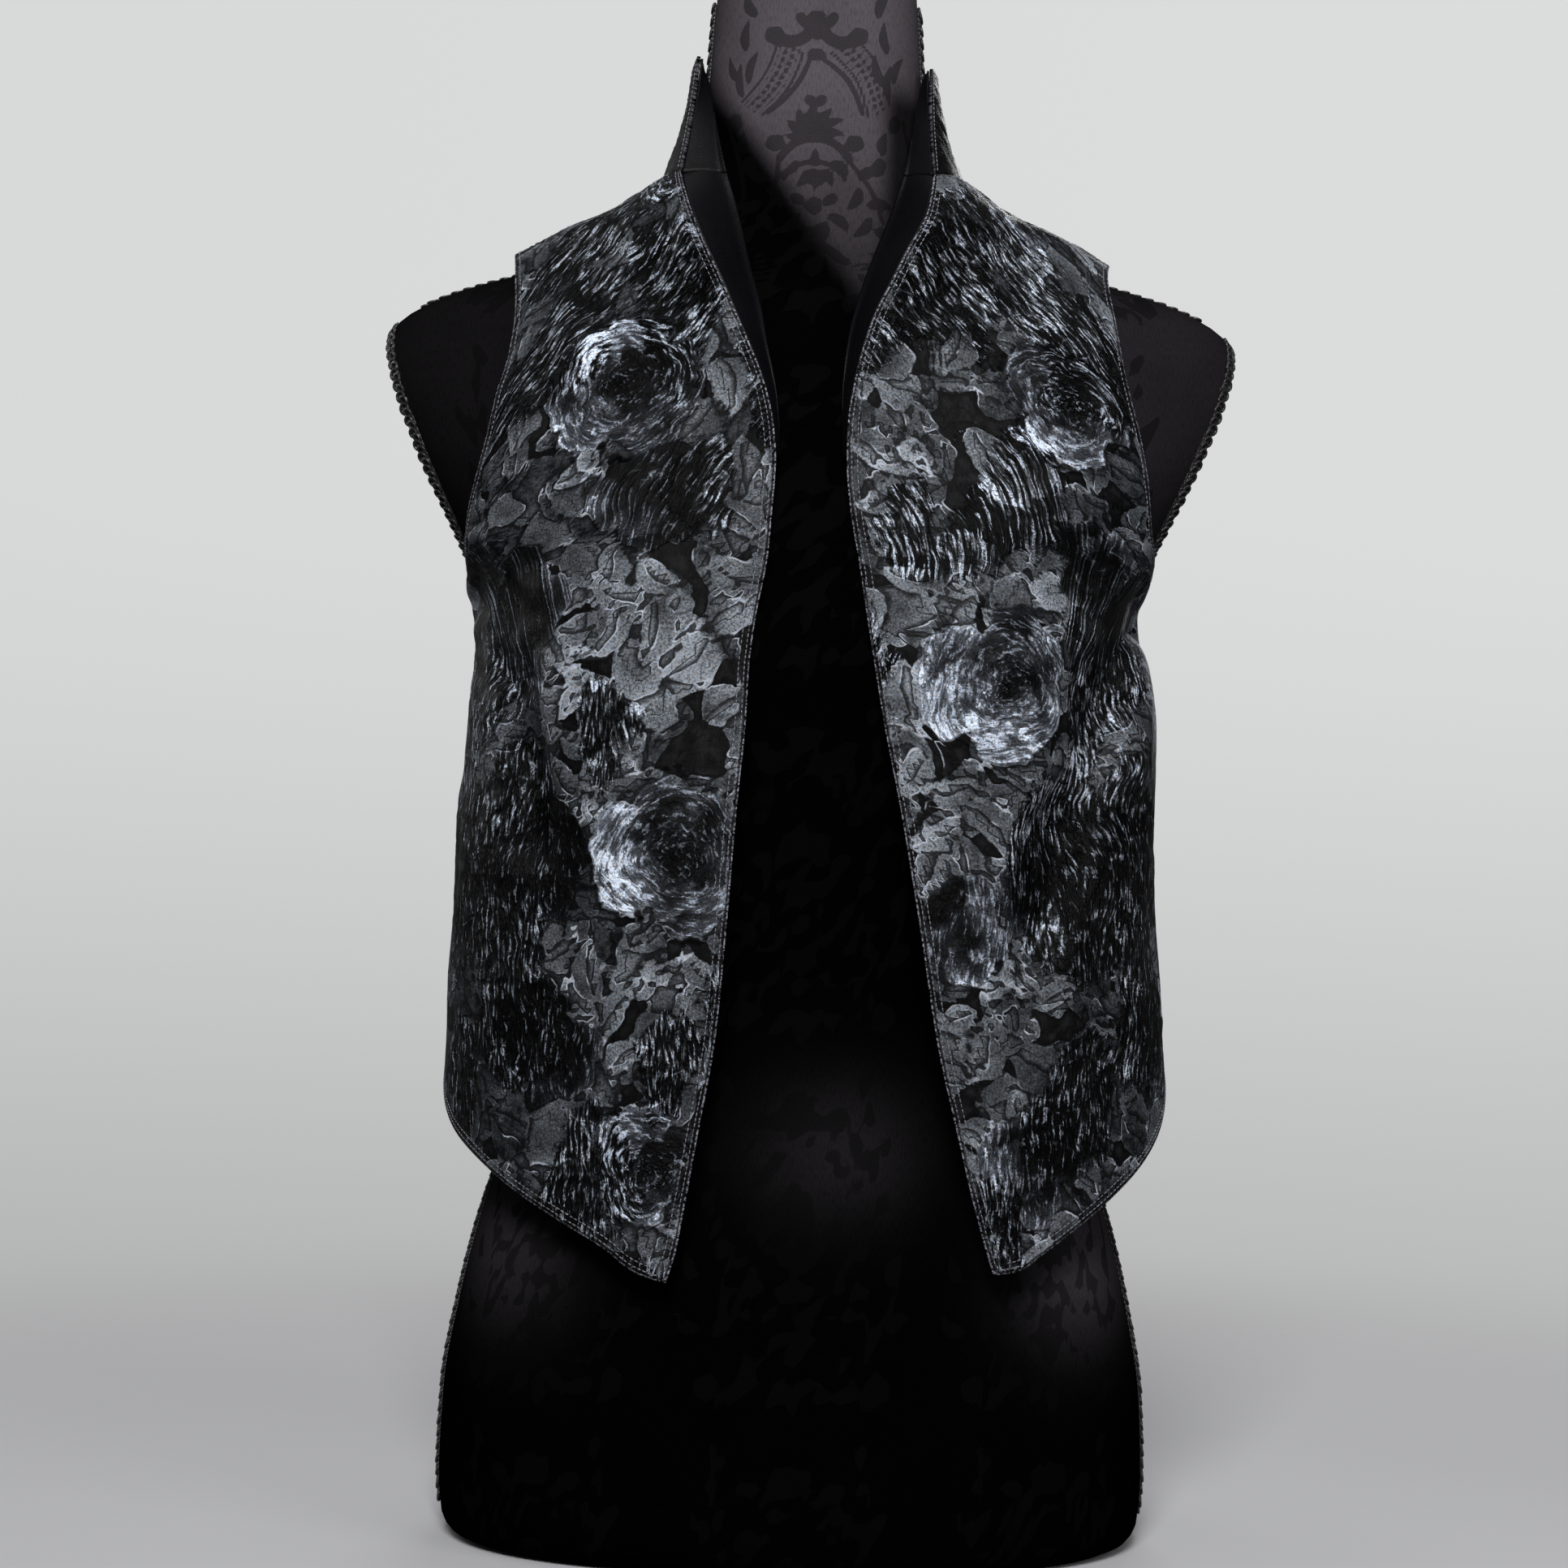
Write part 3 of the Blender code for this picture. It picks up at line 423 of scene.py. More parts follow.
def form_ring(z, angles):
    """Points of the form at one level, at these angles from the front (degrees)."""
    a = np.radians(angles)
    width, front, back, bust = (read(FORM_TABLE, FORM_COLUMNS, key, z) for key in FORM_COLUMNS[1:])
    x = width * np.sign(np.sin(a)) * np.abs(np.sin(a)) ** (2 / FORM_POWER)
    ahead = np.cos(a)
    y = -np.where(ahead > 0, front, back) * np.sign(ahead) * np.abs(ahead) ** (2 / FORM_POWER)
    swell = bust * np.exp(-(((np.abs(x) - BUST_AT) / BUST_WIDE) ** 2))
    y = y - (ahead > 0) * swell * np.minimum(ahead * 3, 1)
    if PLATE[0][0] <= z <= PLATE[-1][0]:
        x = np.clip(x, -plate_x(z), plate_x(z))
    return np.stack([x, y, np.full_like(x, z)], axis=1)


def form_point(angle, z):
    return form_ring(z, np.array([angle]))[0]


def plate_angle(z, back):
    """The angle at which the arm plate starts, so that a column of points lies on its edge."""
    deep = read(FORM_TABLE, FORM_COLUMNS, "back" if back else "front", z)
    half = plate_depth(min(max(z, PLATE[0][0]), PLATE[-1][0]))
    if z > PLATE[-1][0]:
        half = PLATE_LEAST
    if z < PLATE[0][0]:
        half = mix(PLATE_LEAST, 22, ease((PLATE[0][0] - z) / 60))
    return math.degrees(math.acos(min((half / deep) ** (FORM_POWER / 2), 1)))


def form_levels():
    levels = [row[0] for row in FORM_TABLE]
    return sorted(set(levels) - {205, 345, 295})


def seated(p, room):
    """A point held at least this far off the form, and off the braid along its side and shoulder lines."""
    room = room + (GIMP_GAP + GIMP_THICK) * (1 - ease((abs(p[1]) - GIMP_WIDE * 0.7) / 14))
    if abs(p[0]) > 120:
        room = room + UNDERARM_ROOM * math.exp(-(((p[2] - 480) / 18) ** 2))
    near, normal, _, distance = SEAT.find_nearest(Vector(p))
    if near is None:
        return p
    outside = (Vector(p) - near).dot(normal)
    if outside >= 0 and distance >= room:
        return p
    return np.array(near + normal * room)


def cloth_value(name, z):
    return read(GARMENT, CLOTH_COLUMNS, name, z)


def half_width(side, z):
    return cloth_value("left" if side == LEFT else "right", z)


def edge_x(side, z):
    return read(EDGE, EDGE_COLUMNS, "left" if side == LEFT else "right", z)


def fold_depth(side, half, x, z):
    """How far the folds move the cloth outward at a place."""
    total = 0.0
    for x0, z0, x1, z1, depth, wide in FOLDS[side, half]:
        dx = x1 - x0
        dz = z1 - z0
        t = ((x - x0) * dx + (z - z0) * dz) / (dx * dx + dz * dz)
        held = min(max(t, 0.0), 1.0)
        away = math.hypot(x - x0 - held * dx, z - z0 - held * dz)
        total += depth * math.exp(-((away / wide) ** 2))
    return total


def angle_of(side, x, z):
    """The angle from the middle at which the cloth is this far across."""
    share = min(max(x / half_width(side, z), 0.0), 1.0)
    return math.degrees(math.asin(share ** (CLOTH_POWER / 2)))


def cloth_point(side, half, angle, z):
    """A point of the cloth's middle surface, at an angle from the middle of the front or the back."""
    a = math.radians(angle)
    x = half_width(side, z) * power(math.sin(a), 2 / CLOTH_POWER)
    ahead = math.cos(a)
    facing = "front" if (ahead >= 0) == (half == "front") else "back"
    reach = cloth_value(facing, z) * abs(ahead) ** (2 / CLOTH_POWER)
    if facing == "front":
        swell = cloth_value("bust", z) * math.exp(-(((x - BUST_AT) / BUST_WIDE) ** 2))
        reach += swell * min(abs(ahead) * 3, 1)
        off = max(x - edge_x(side, z), 0)
        lift = read(EDGE, EDGE_COLUMNS, "flare", z) * math.exp(-((off / FLARE_WIDE) ** 1.4))
        reach += lift * min(abs(ahead) * 2, 1)
    y = -reach if facing == "front" else reach
    fold = fold_depth(side, facing, x, z) * min(1.0, max(0.0, (610 - z) / 60))
    out = np.array([x / half_width(side, z), y / 110.0])
    out = out / max(np.linalg.norm(out), 1e-6)
    return np.array([side * (x + fold * out[0]), y + fold * out[1], z])


def drop(k):
    """The share of the upper block that row k has come down: close rows at the shoulder seam."""
    t = k / UPPER_ROWS
    c = 0.35
    return t * t / (t + c) * (1 + c)


def level(top, middle, hem, k):
    """The level of row k in a column that starts at top and ends at the hem."""
    if k <= UPPER_ROWS:
        return mix(top, middle, drop(k))
    return mix(middle, hem, (k - UPPER_ROWS) / LOWER_ROWS)


def front_top(side):
    """The top of a front: along the neckline, then along the shoulder seam."""
    places = []
    start = EDGE_TOP[side]
    for i in range(NECK_COLUMNS):
        t = i / NECK_COLUMNS
        places.append((mix(start[0], NECK_SHOULDER[0], t**0.8), mix(start[1], NECK_SHOULDER[1], t)))
    neck_part = shoulder_places(NECK_SHOULDER, PRINCESS_TOP)
    return places + neck_part[:-1] + shoulder_places(PRINCESS_TOP, SHOULDER_END)


def shoulder_places(start, end):
    """Places on the shoulder seam from start to end, with the level read from the cloth."""
    places = []
    for i in range(SHOULDER_COLUMNS + 1):
        x = mix(start[0], end[0], i / SHOULDER_COLUMNS)
        places.append((x, ridge(x)))
    return places


def ridge(x):
    """The level of the shoulder seam where it is this far across."""
    widths = column(GARMENT, CLOTH_COLUMNS, "left")[::-1]
    levels = column(GARMENT, CLOTH_COLUMNS, "z")[::-1]
    keep = levels >= 598
    return float(np.interp(x, widths[keep], levels[keep]))


def side_angle(side, half, z):
    """The angle of the armhole, and below the underarm that of the side seam."""
    seam = SIDE_SEAM if half == "front" else 180 - SIDE_SEAM
    low = UNDERARM[side]
    if z <= low:
        return seam
    name = "armhole_back" if half == "back" else ("armhole_left" if side == LEFT else "armhole_right")
    angle = angle_of(side, read(OUTLINE, OUTLINE_COLUMNS, name, z), z)
    return mix(seam, angle, ease((z - low) / 12))


def block_grid(side, half, places, inner_x, hem_at, share_at, to_side):
    """A grid of the middle surface, a row per level, from the inner line to the outer one."""
    grid = []
    count = len(places) - 1
    top_span = places[-1][0] - places[0][0]
    for k in range(UPPER_ROWS + LOWER_ROWS + 1):
        settled = ease(min(k / UPPER_ROWS, 1.0) * 1.4)
        row = []
        ends = []
        for place, u in ((places[0], 0.0), (places[-1], 1.0)):
            ends.append(level(place[1], share_at(u), hem_at(u), k))
        x_in = inner_x(ends[0])
        a_in = angle_of(side, x_in, ends[0])
        a_out = to_side(ends[1])
        for i, (x_top, z_top) in enumerate(places):
            u = i / count
            z = level(z_top, share_at(u), hem_at(u), k)
            even = mix(a_in, a_out, u)
            at_top = (x_top - places[0][0]) / top_span
            x_out = half_width(side, ends[1]) * power(math.sin(math.radians(min(a_out, 90))), 2 / CLOTH_POWER)
            across = angle_of(side, mix(x_in, x_out, mix(at_top, u, settled)), z)
            if k == 0:
                across = 90.0 if x_top >= NECK_SHOULDER[0] - 0.01 else angle_of(side, x_top, z)
            angle = even if i in (0, count) and k > 0 else mix(across, even, ease(settled))
            if k == 0:
                angle = across
            row.append(cloth_point(side, half, angle, z))
        grid.append(row)
    return np.array(grid)


def front_grid(side):
    low = UNDERARM[side]
    name = "left" if side == LEFT else "right"
    return block_grid(
        side,
        "front",
        front_top(side),
        lambda z: edge_x(side, z),
        lambda u: read(HEM, HEM_COLUMNS, name, u),
        lambda u: mix(MIDDLE_AT_EDGE, low, ease(u)),
        lambda z: side_angle(side, "front", z),
    )


def princess_x(z):
    return read(OUTLINE, OUTLINE_COLUMNS, "princess", z)


def back_hem(side, u):
    """The back hem, nearly level, from the middle (0) to the side seam (2)."""
    end = HEM[-1][1] if side == LEFT else HEM[-1][2]
    return mix(227.0, end, ease(u / 2))


def back_middle(side, u):
    return mix(470.0, UNDERARM[side], ease(u / 2))


def side_back_grid(side):
    return block_grid(
        side,
        "back",
        shoulder_places(PRINCESS_TOP, SHOULDER_END),
        princess_x,
        lambda u: back_hem(side, 1 + u),
        lambda u: back_middle(side, 1 + u),
        lambda z: side_angle(side, "back", z),
    )


def back_half(side):
    """Half of the centre back, from the middle outward."""
    places = []
    for i in range(BACK_NECK_COLUMNS):
        x = NECK_SHOULDER[0] * math.sin(math.radians(90 * i / BACK_NECK_COLUMNS))
        share = (x / NECK_SHOULDER[0]) ** 3
        places.append((x, mix(BACK_NECK, NECK_SHOULDER[1], share)))
    places += shoulder_places(NECK_SHOULDER, PRINCESS_TOP)
    return block_grid(
        side,
        "back",
        places,
        lambda z: 0.0,
        lambda u: back_hem(side, u),
        lambda u: back_middle(side, u),
        lambda z: angle_of(side, princess_x(z), z),
    )


def back_grid():
    left = back_half(LEFT)[:, ::-1]
    right = back_half(RIGHT)
    return np.concatenate([left[:, :-1], right], axis=1)


def settle(grid, room):
    """Holds every point of a grid off the form."""
    return np.array([[seated(p, room) for p in row] for row in grid])


def normals_of(grid, outward):
    """Unit normals of a grid, turned so that the middle one looks along outward."""
    down = np.gradient(grid, axis=0)
    across = np.gradient(grid, axis=1)
    normal = np.cross(down, across)
    normal /= np.maximum(np.linalg.norm(normal, axis=2, keepdims=True), 1e-9)
    middle = normal[grid.shape[0] // 2, grid.shape[1] // 2]
    return normal if np.dot(middle, outward) > 0 else -normal


# Edges of a grid: the axis they end, their own line and the one beside it
EDGE_LINES = {
    "top": (0, 0, 1),
    "hem": (0, -1, -2),
    "first": (1, 0, 1),
    "last": (1, -1, -2),
}


def drawn_back(grid, edge, by=SEAM / 2):
    """Moves one edge of a grid inward along the cloth, to leave the seam's gap."""
    axis, own, beside = EDGE_LINES[edge]
    lines = np.moveaxis(grid, axis, 0)
    step = lines[beside] - lines[own]
    step /= np.maximum(np.linalg.norm(step, axis=-1, keepdims=True), 1e-9)
    lines[own] = lines[own] + step * by


def collar_top(side, t):
    """A point of the collar's top edge, at a share of the way from the front tip to the back."""
    name = "left" if side == LEFT else "right"
    return np.array(
        [
            side * read(COLLAR, COLLAR_COLUMNS, "x_" + name, t),
            read(COLLAR, COLLAR_COLUMNS, "y", t),
            read(COLLAR, COLLAR_COLUMNS, "z_" + name, t),
        ]
    )


def collar_grid(line):
    """The collar, from the neckline up to its top edge, right round from one front edge to the other."""
    count = len(line)
    half = count // 2
    lengths = length_along(line)
    grid = []
    for k in range(COLLAR_ROWS + 1):
        t = k / COLLAR_ROWS
        row = []
        for i in range(count):
            side = LEFT if i <= half else RIGHT
            if i <= half:
                share = lengths[i] / lengths[half]
            else:
                share = (lengths[-1] - lengths[i]) / (lengths[-1] - lengths[half])
            p = mix(line[i], collar_top(side, share), t)
            inward = np.array([-p[0], -p[1], 0.0]) / max(math.hypot(p[0], p[1]), 1e-6)
            row.append(p + inward * COLLAR_HOLLOW * math.sin(math.pi * t))
        grid.append(row)
    return np.array(grid)


def facing_reach(side, z):
    """The place on the form that a facing reaches at a level."""
    name = "left" if side == LEFT else "right"
    x = read(FACING_REACH, FACING_COLUMNS_NAMED, name, z)
    width = read(FORM_TABLE, FORM_COLUMNS, "width", z)
    angle = math.degrees(math.asin(min(x / width, 1.0) ** (FORM_POWER / 2)))
    return form_point(side * angle, z)


def facing_grid(side, edge, normals, outward, thick):
    """A facing: from just behind an edge of the cloth, in to the form."""
    grid = []
    along = unit_rows(np.gradient(edge, axis=0))
    for p, n, e, t in zip(edge, normals, outward, along):
        end = facing_reach(side, p[2])
        across = np.cross(t, end - p)
        across = across / np.linalg.norm(across)
        behind = CLOTH / 2 + SEAM + abs(np.dot(across, n)) * thick / 2
        start = p - n * behind - e * abs(np.dot(across, e)) * thick / 2
        span = np.linalg.norm(end - start)
        row = []
        for i in range(FACING_COLUMNS + 1):
            t = i / FACING_COLUMNS
            q = mix(start, end, t)
            q = q + n * 0.08 * span * math.sin(math.pi * t)
            row.append(q if i == 0 else seated(q, thick / 2 + OVER_FORM))
        grid.append(row)
    return np.array(grid)


# How many times finer again the panels are, by smooth curves through their points
ROWS_FINER = 6
COLUMNS_FINER = 4
BACK_FINER = 3
COLLAR_FINER = 5

# How far the cloth's print runs before it repeats, across and down, and the place of the middle of the back
REPEAT_WIDE = 332.0
REPEAT_TALL = 492.0
BACK_MIDDLE = REPEAT_WIDE / 2

# Patches where the ground is crinkled satin: place, size and turn in degrees
SATIN = (
    (-152, 430, 34, 80),
    (-150, 340, 42, 95),
    (-146, 258, 38, 100),
    (-104, 176, 34, 60),
    (-62, 236, 22, 80),
    (-122, 586, 30, 60),
    (-66, 606, 28, 110),
    (-50, 506, 22, 90),
    (-92, 390, 20, 90),
    (154, 418, 34, 95),
    (148, 318, 46, 85),
    (112, 340, 24, 75),
    (136, 212, 34, 60),
    (96, 160, 20, 100),
    (66, 614, 30, 70),
    (128, 600, 30, 120),
    (44, 486, 22, 100),
    (96, 500, 34, 50),
    (12, 400, 40, 80),
    (-12, 260, 40, 100),
    (0, 560, 36, 60),
)

# Sprays of leaves: place, size, turn in degrees and brightness
SPRAYS = (
    (-57, 454, 34, 200, 0.62),
    (87, 582, 36, 60, 0.60),
    (80, 368, 34, 250, 0.55),
    (-92, 228, 32, 100, 0.70),
    (-112, 612, 34, 120, 0.45),
    (-40, 262, 28, 70, 0.60),
    (62, 452, 26, 110, 0.50),
    (-148, 385, 28, 260, 0.35),
    (146, 250, 30, 280, 0.40),
    (112, 258, 30, 80, 0.62),
)

# Roses: place, size, turn in degrees and brightness
ROSES = (
    (-74, 500, 27, 20, 0.34),
    (-134, 328, 28, 75, 0.36),
    (-126, 240, 27, 140, 0.40),
    (118, 322, 28, 10, 0.34),
    (112, 188, 27, 55, 0.48),
    (-142, 452, 25, 190, 0.30),
    (146, 480, 26, 230, 0.36),
    (72, 300, 24, 160, 0.50),
    (-90, 560, 33, 0, 0.72),
    (-60, 332, 34, 40, 0.86),
    (92, 412, 34, 90, 0.84),
    (122, 560, 28, 120, 0.62),
    (-70, 186, 26, 30, 0.66),
)

# Pairs of small bright leaves: place, size, turn in degrees and brightness
BUDS = (
    (-104, 522, 18, 215, 0.95),
    (47, 525, 18, 215, 0.92),
    (-70, 279, 16, 230, 0.90),
    (98, 278, 16, 215, 0.92),
    (-108, 412, 17, 250, 0.95),
    (140, 378, 15, 330, 0.75),
)

# Thin light stems: start, length, direction in degrees, bow and number of waves
STEMS = (
    (-58, 506, 34, 250, 5, 0.5),
    (-50, 478, 26, 200, -4, 0.5),
    (-44, 470, 30, 300, 5, 0.5),
    (-104, 442, 30, 262, 4, 0.5),
    (-92, 402, 26, 235, -3, 0.5),
    (-140, 300, 44, 250, 5, 1.0),
    (-36, 420, 24, 285, 4, 0.5),
    (40, 545, 44, 262, 6, 1.0),
    (56, 500, 34, 290, -5, 0.5),
    (58, 388, 52, 272, 5, 1.0),
    (104, 352, 34, 300, 4, 0.5),
    (88, 240, 46, 262, -5, 1.0),
    (126, 226, 38, 290, 5, 0.5),
    (-78, 246, 40, 262, 6, 1.0),
    (-100, 600, 36, 240, -5, 0.5),
    (100, 618, 40, 292, 5, 0.5),
    (150, 420, 60, 265, 5, 1.0),
    (-120, 196, 30, 300, 4, 0.5),
)

# Small creases of each side and half: the two ends in x and z, depth outward and half width
CREASES = {
    (LEFT, "front"): (
        (150, 470, 134, 412, -3.6, 8.0),
        (134, 412, 128, 340, -3.2, 9.0),
        (157, 474, 143, 436, -2.2, 4.0),
        (150, 480, 128, 452, 1.6, 4.5),
        (143, 470, 118, 425, -1.5, 5.0),
        (146, 436, 136, 398, -1.8, 4.0),
        (158, 446, 148, 420, 1.2, 3.5),
        (132, 560, 98, 505, -1.3, 7.0),
        (120, 590, 86, 540, 1.1, 7.0),
        (128, 380, 120, 320, -1.4, 5.5),
        (158, 360, 160, 300, 1.0, 6.0),
        (78, 420, 84, 360, -0.8, 8.0),
        (66, 250, 70, 160, 0.9, 8.0),
        (124, 260, 132, 196, -1.2, 6.5),
    ),
    (RIGHT, "front"): (
        (154, 446, 134, 376, -4.2, 9.0),
        (136, 384, 106, 296, -4.6, 10.0),
        (106, 300, 96, 236, -2.6, 9.0),
        (162, 466, 146, 430, -2.4, 4.5),
        (154, 480, 132, 455, 1.5, 4.5),
        (150, 446, 134, 404, 1.6, 4.5),
        (140, 420, 130, 385, -1.6, 4.0),
        (136, 565, 100, 505, -1.3, 7.0),
        (124, 596, 92, 548, 1.1, 7.0),
        (132, 330, 122, 270, 1.4, 6.0),
        (100, 350, 96, 300, -1.2, 6.0),
        (146, 300, 140, 220, -1.3, 6.5),
        (90, 250, 98, 165, 0.9, 7.0),
    ),
    (LEFT, "back"): (
        (150, 480, 128, 450, -2.0, 5.0),
        (128, 470, 104, 436, 1.4, 6.0),
        (128, 560, 92, 512, -1.3, 7.0),
        (60, 360, 66, 270, -1.2, 7.0),
        (26, 440, 20, 360, 0.9, 7.0),
        (132, 320, 128, 250, 1.3, 6.5),
    ),
    (RIGHT, "back"): (
        (152, 480, 130, 448, -2.0, 5.0),
        (126, 474, 100, 430, 1.4, 6.0),
        (130, 556, 96, 508, -1.3, 7.0),
        (70, 350, 62, 262, -1.2, 7.0),
        (30, 430, 36, 350, 0.9, 7.0),
        (136, 330, 130, 240, 1.3, 6.5),
    ),
}


def noise(x, y, seed):
    """Smooth noise from -1 to 1 over a plane."""
    xi = np.floor(x)
    yi = np.floor(y)
    fx = x - xi
    fy = y - yi
    fx = fx * fx * (3 - 2 * fx)
    fy = fy * fy * (3 - 2 * fy)

    def corner(i, j):
        value = np.sin((xi + i) * 127.1 + (yi + j) * 311.7 + seed * 74.7) * 43758.5453
        return 2 * (value - np.floor(value)) - 1

    low = corner(0, 0) * (1 - fx) + corner(1, 0) * fx
    high = corner(0, 1) * (1 - fx) + corner(1, 1) * fx
    return low * (1 - fy) + high * fy


def curved(values, times, axis):
    """Values read between their points on a smooth curve, times as many along one axis."""
    values = np.moveaxis(np.asarray(values, float), axis, 0)
    count = len(values)
    before = np.concatenate([2 * values[:1] - values[1:2], values, 2 * values[-1:] - values[-2:-1]])
    rows = []
    for i in range(count - 1):
        a, b, c, d = before[i : i + 4]
        for j in range(times):
            t = j / times
            square = (2 * a - 5 * b + 4 * c - d) * t * t
            cube = (3 * b - a - 3 * c + d) * t**3
            rows.append(0.5 * (2 * b + (c - a) * t + square + cube))
    rows.append(values[-1])
    return np.moveaxis(np.array(rows), 0, axis)


def finer(grid, rows, columns):
    """A grid with this many times the rows and columns."""
    return curved(curved(grid, rows, 0), columns, 1)


def arc_from(grid, axis, start):
    """Distance along one axis of a grid, counted from a row or a column of it."""
    steps = np.linalg.norm(np.diff(grid, axis=axis), axis=2)
    total = np.cumsum(steps, axis=axis)
    zero = np.zeros_like(np.take(total, [0], axis=axis))
    total = np.concatenate([zero, total], axis=axis)
    return total - np.take(total, [start], axis=axis)


def unit_rows(values):
    return values / np.linalg.norm(values, axis=-1, keepdims=True)


# The crinkles slant by this much above this level, over this height; they are counted from the waist up
CRINKLE_SLANT = 47.0
CRINKLE_TURN = 425.0
CRINKLE_TURN_TALL = 110.0
CRINKLE_FROM = 480.0

# Width and length of one crinkle
CRINKLE_WIDE = 1.75
CRINKLE_LONG = 9.5


def crinkle_lines(u, v):
    """Places measured across and along the crinkles, upright low down and slanting to the shoulders."""
    turned = np.clip((v - CRINKLE_TURN) / CRINKLE_TURN_TALL, 0, 1)
    slant = np.radians(CRINKLE_SLANT) * turned * np.sign(u)
    c = np.cos(slant)
    s = np.sin(slant)
    up = v - CRINKLE_FROM
    waver = 2.5 * noise(u / 17, v / 21, 11) + 1.1 * noise(u / 5, v / 7, 15)
    p = u * c + up * s + waver
    q = -u * s + up * c
    return np.stack([p / CRINKLE_WIDE, q / CRINKLE_LONG, np.zeros_like(u)], axis=-1)


# How far outside a figure its brightness still counts
TONE_REACH = 9.0

# A distance that counts as far from any line of the drawing
FAR = 9.0

# Half the turn of a bent band of the damask, in radians, and the step of its lattice
ARCH_SPREAD = 1.05
LATTICE = 3.5


# Share of its length by which a strip bows, and half width and gap of a trellis's outlines
STRIP_BOW = 0.10
OUTLINE_HALF = 0.75
OUTLINE_OFF = 1.9

# Half the side of a small square of the lattice
SQUARE_HALF = 1.15

# Rings of a rose, the outer ones laid first: distance out, width, length, number of petals and light
ROSE_RINGS = (
    (0.72, 0.48, 0.40, 6, 1.0),
    (0.47, 0.40, 0.33, 5, 0.85),
    (0.26, 0.30, 0.26, 4, 0.6),
    (0.08, 0.19, 0.2, 2, 0.45),
)

# Brightness from which a rose has crinkles that run round it
ROSE_CRINKLED = 0.55

# Leaves of a spray: share of the way up, turn from the stem in degrees and length
SPRAY_LEAVES = (
    (0.1, -70, 0.8),
    (0.35, 58, 0.95),
    (0.6, -48, 0.85),
    (0.85, 34, 0.8),
    (1.1, -4, 0.9),
)


def soft_step(away, wide):
    """0 below, 1 above and a soft step this wide between."""
    return ease(away / wide + 0.5)


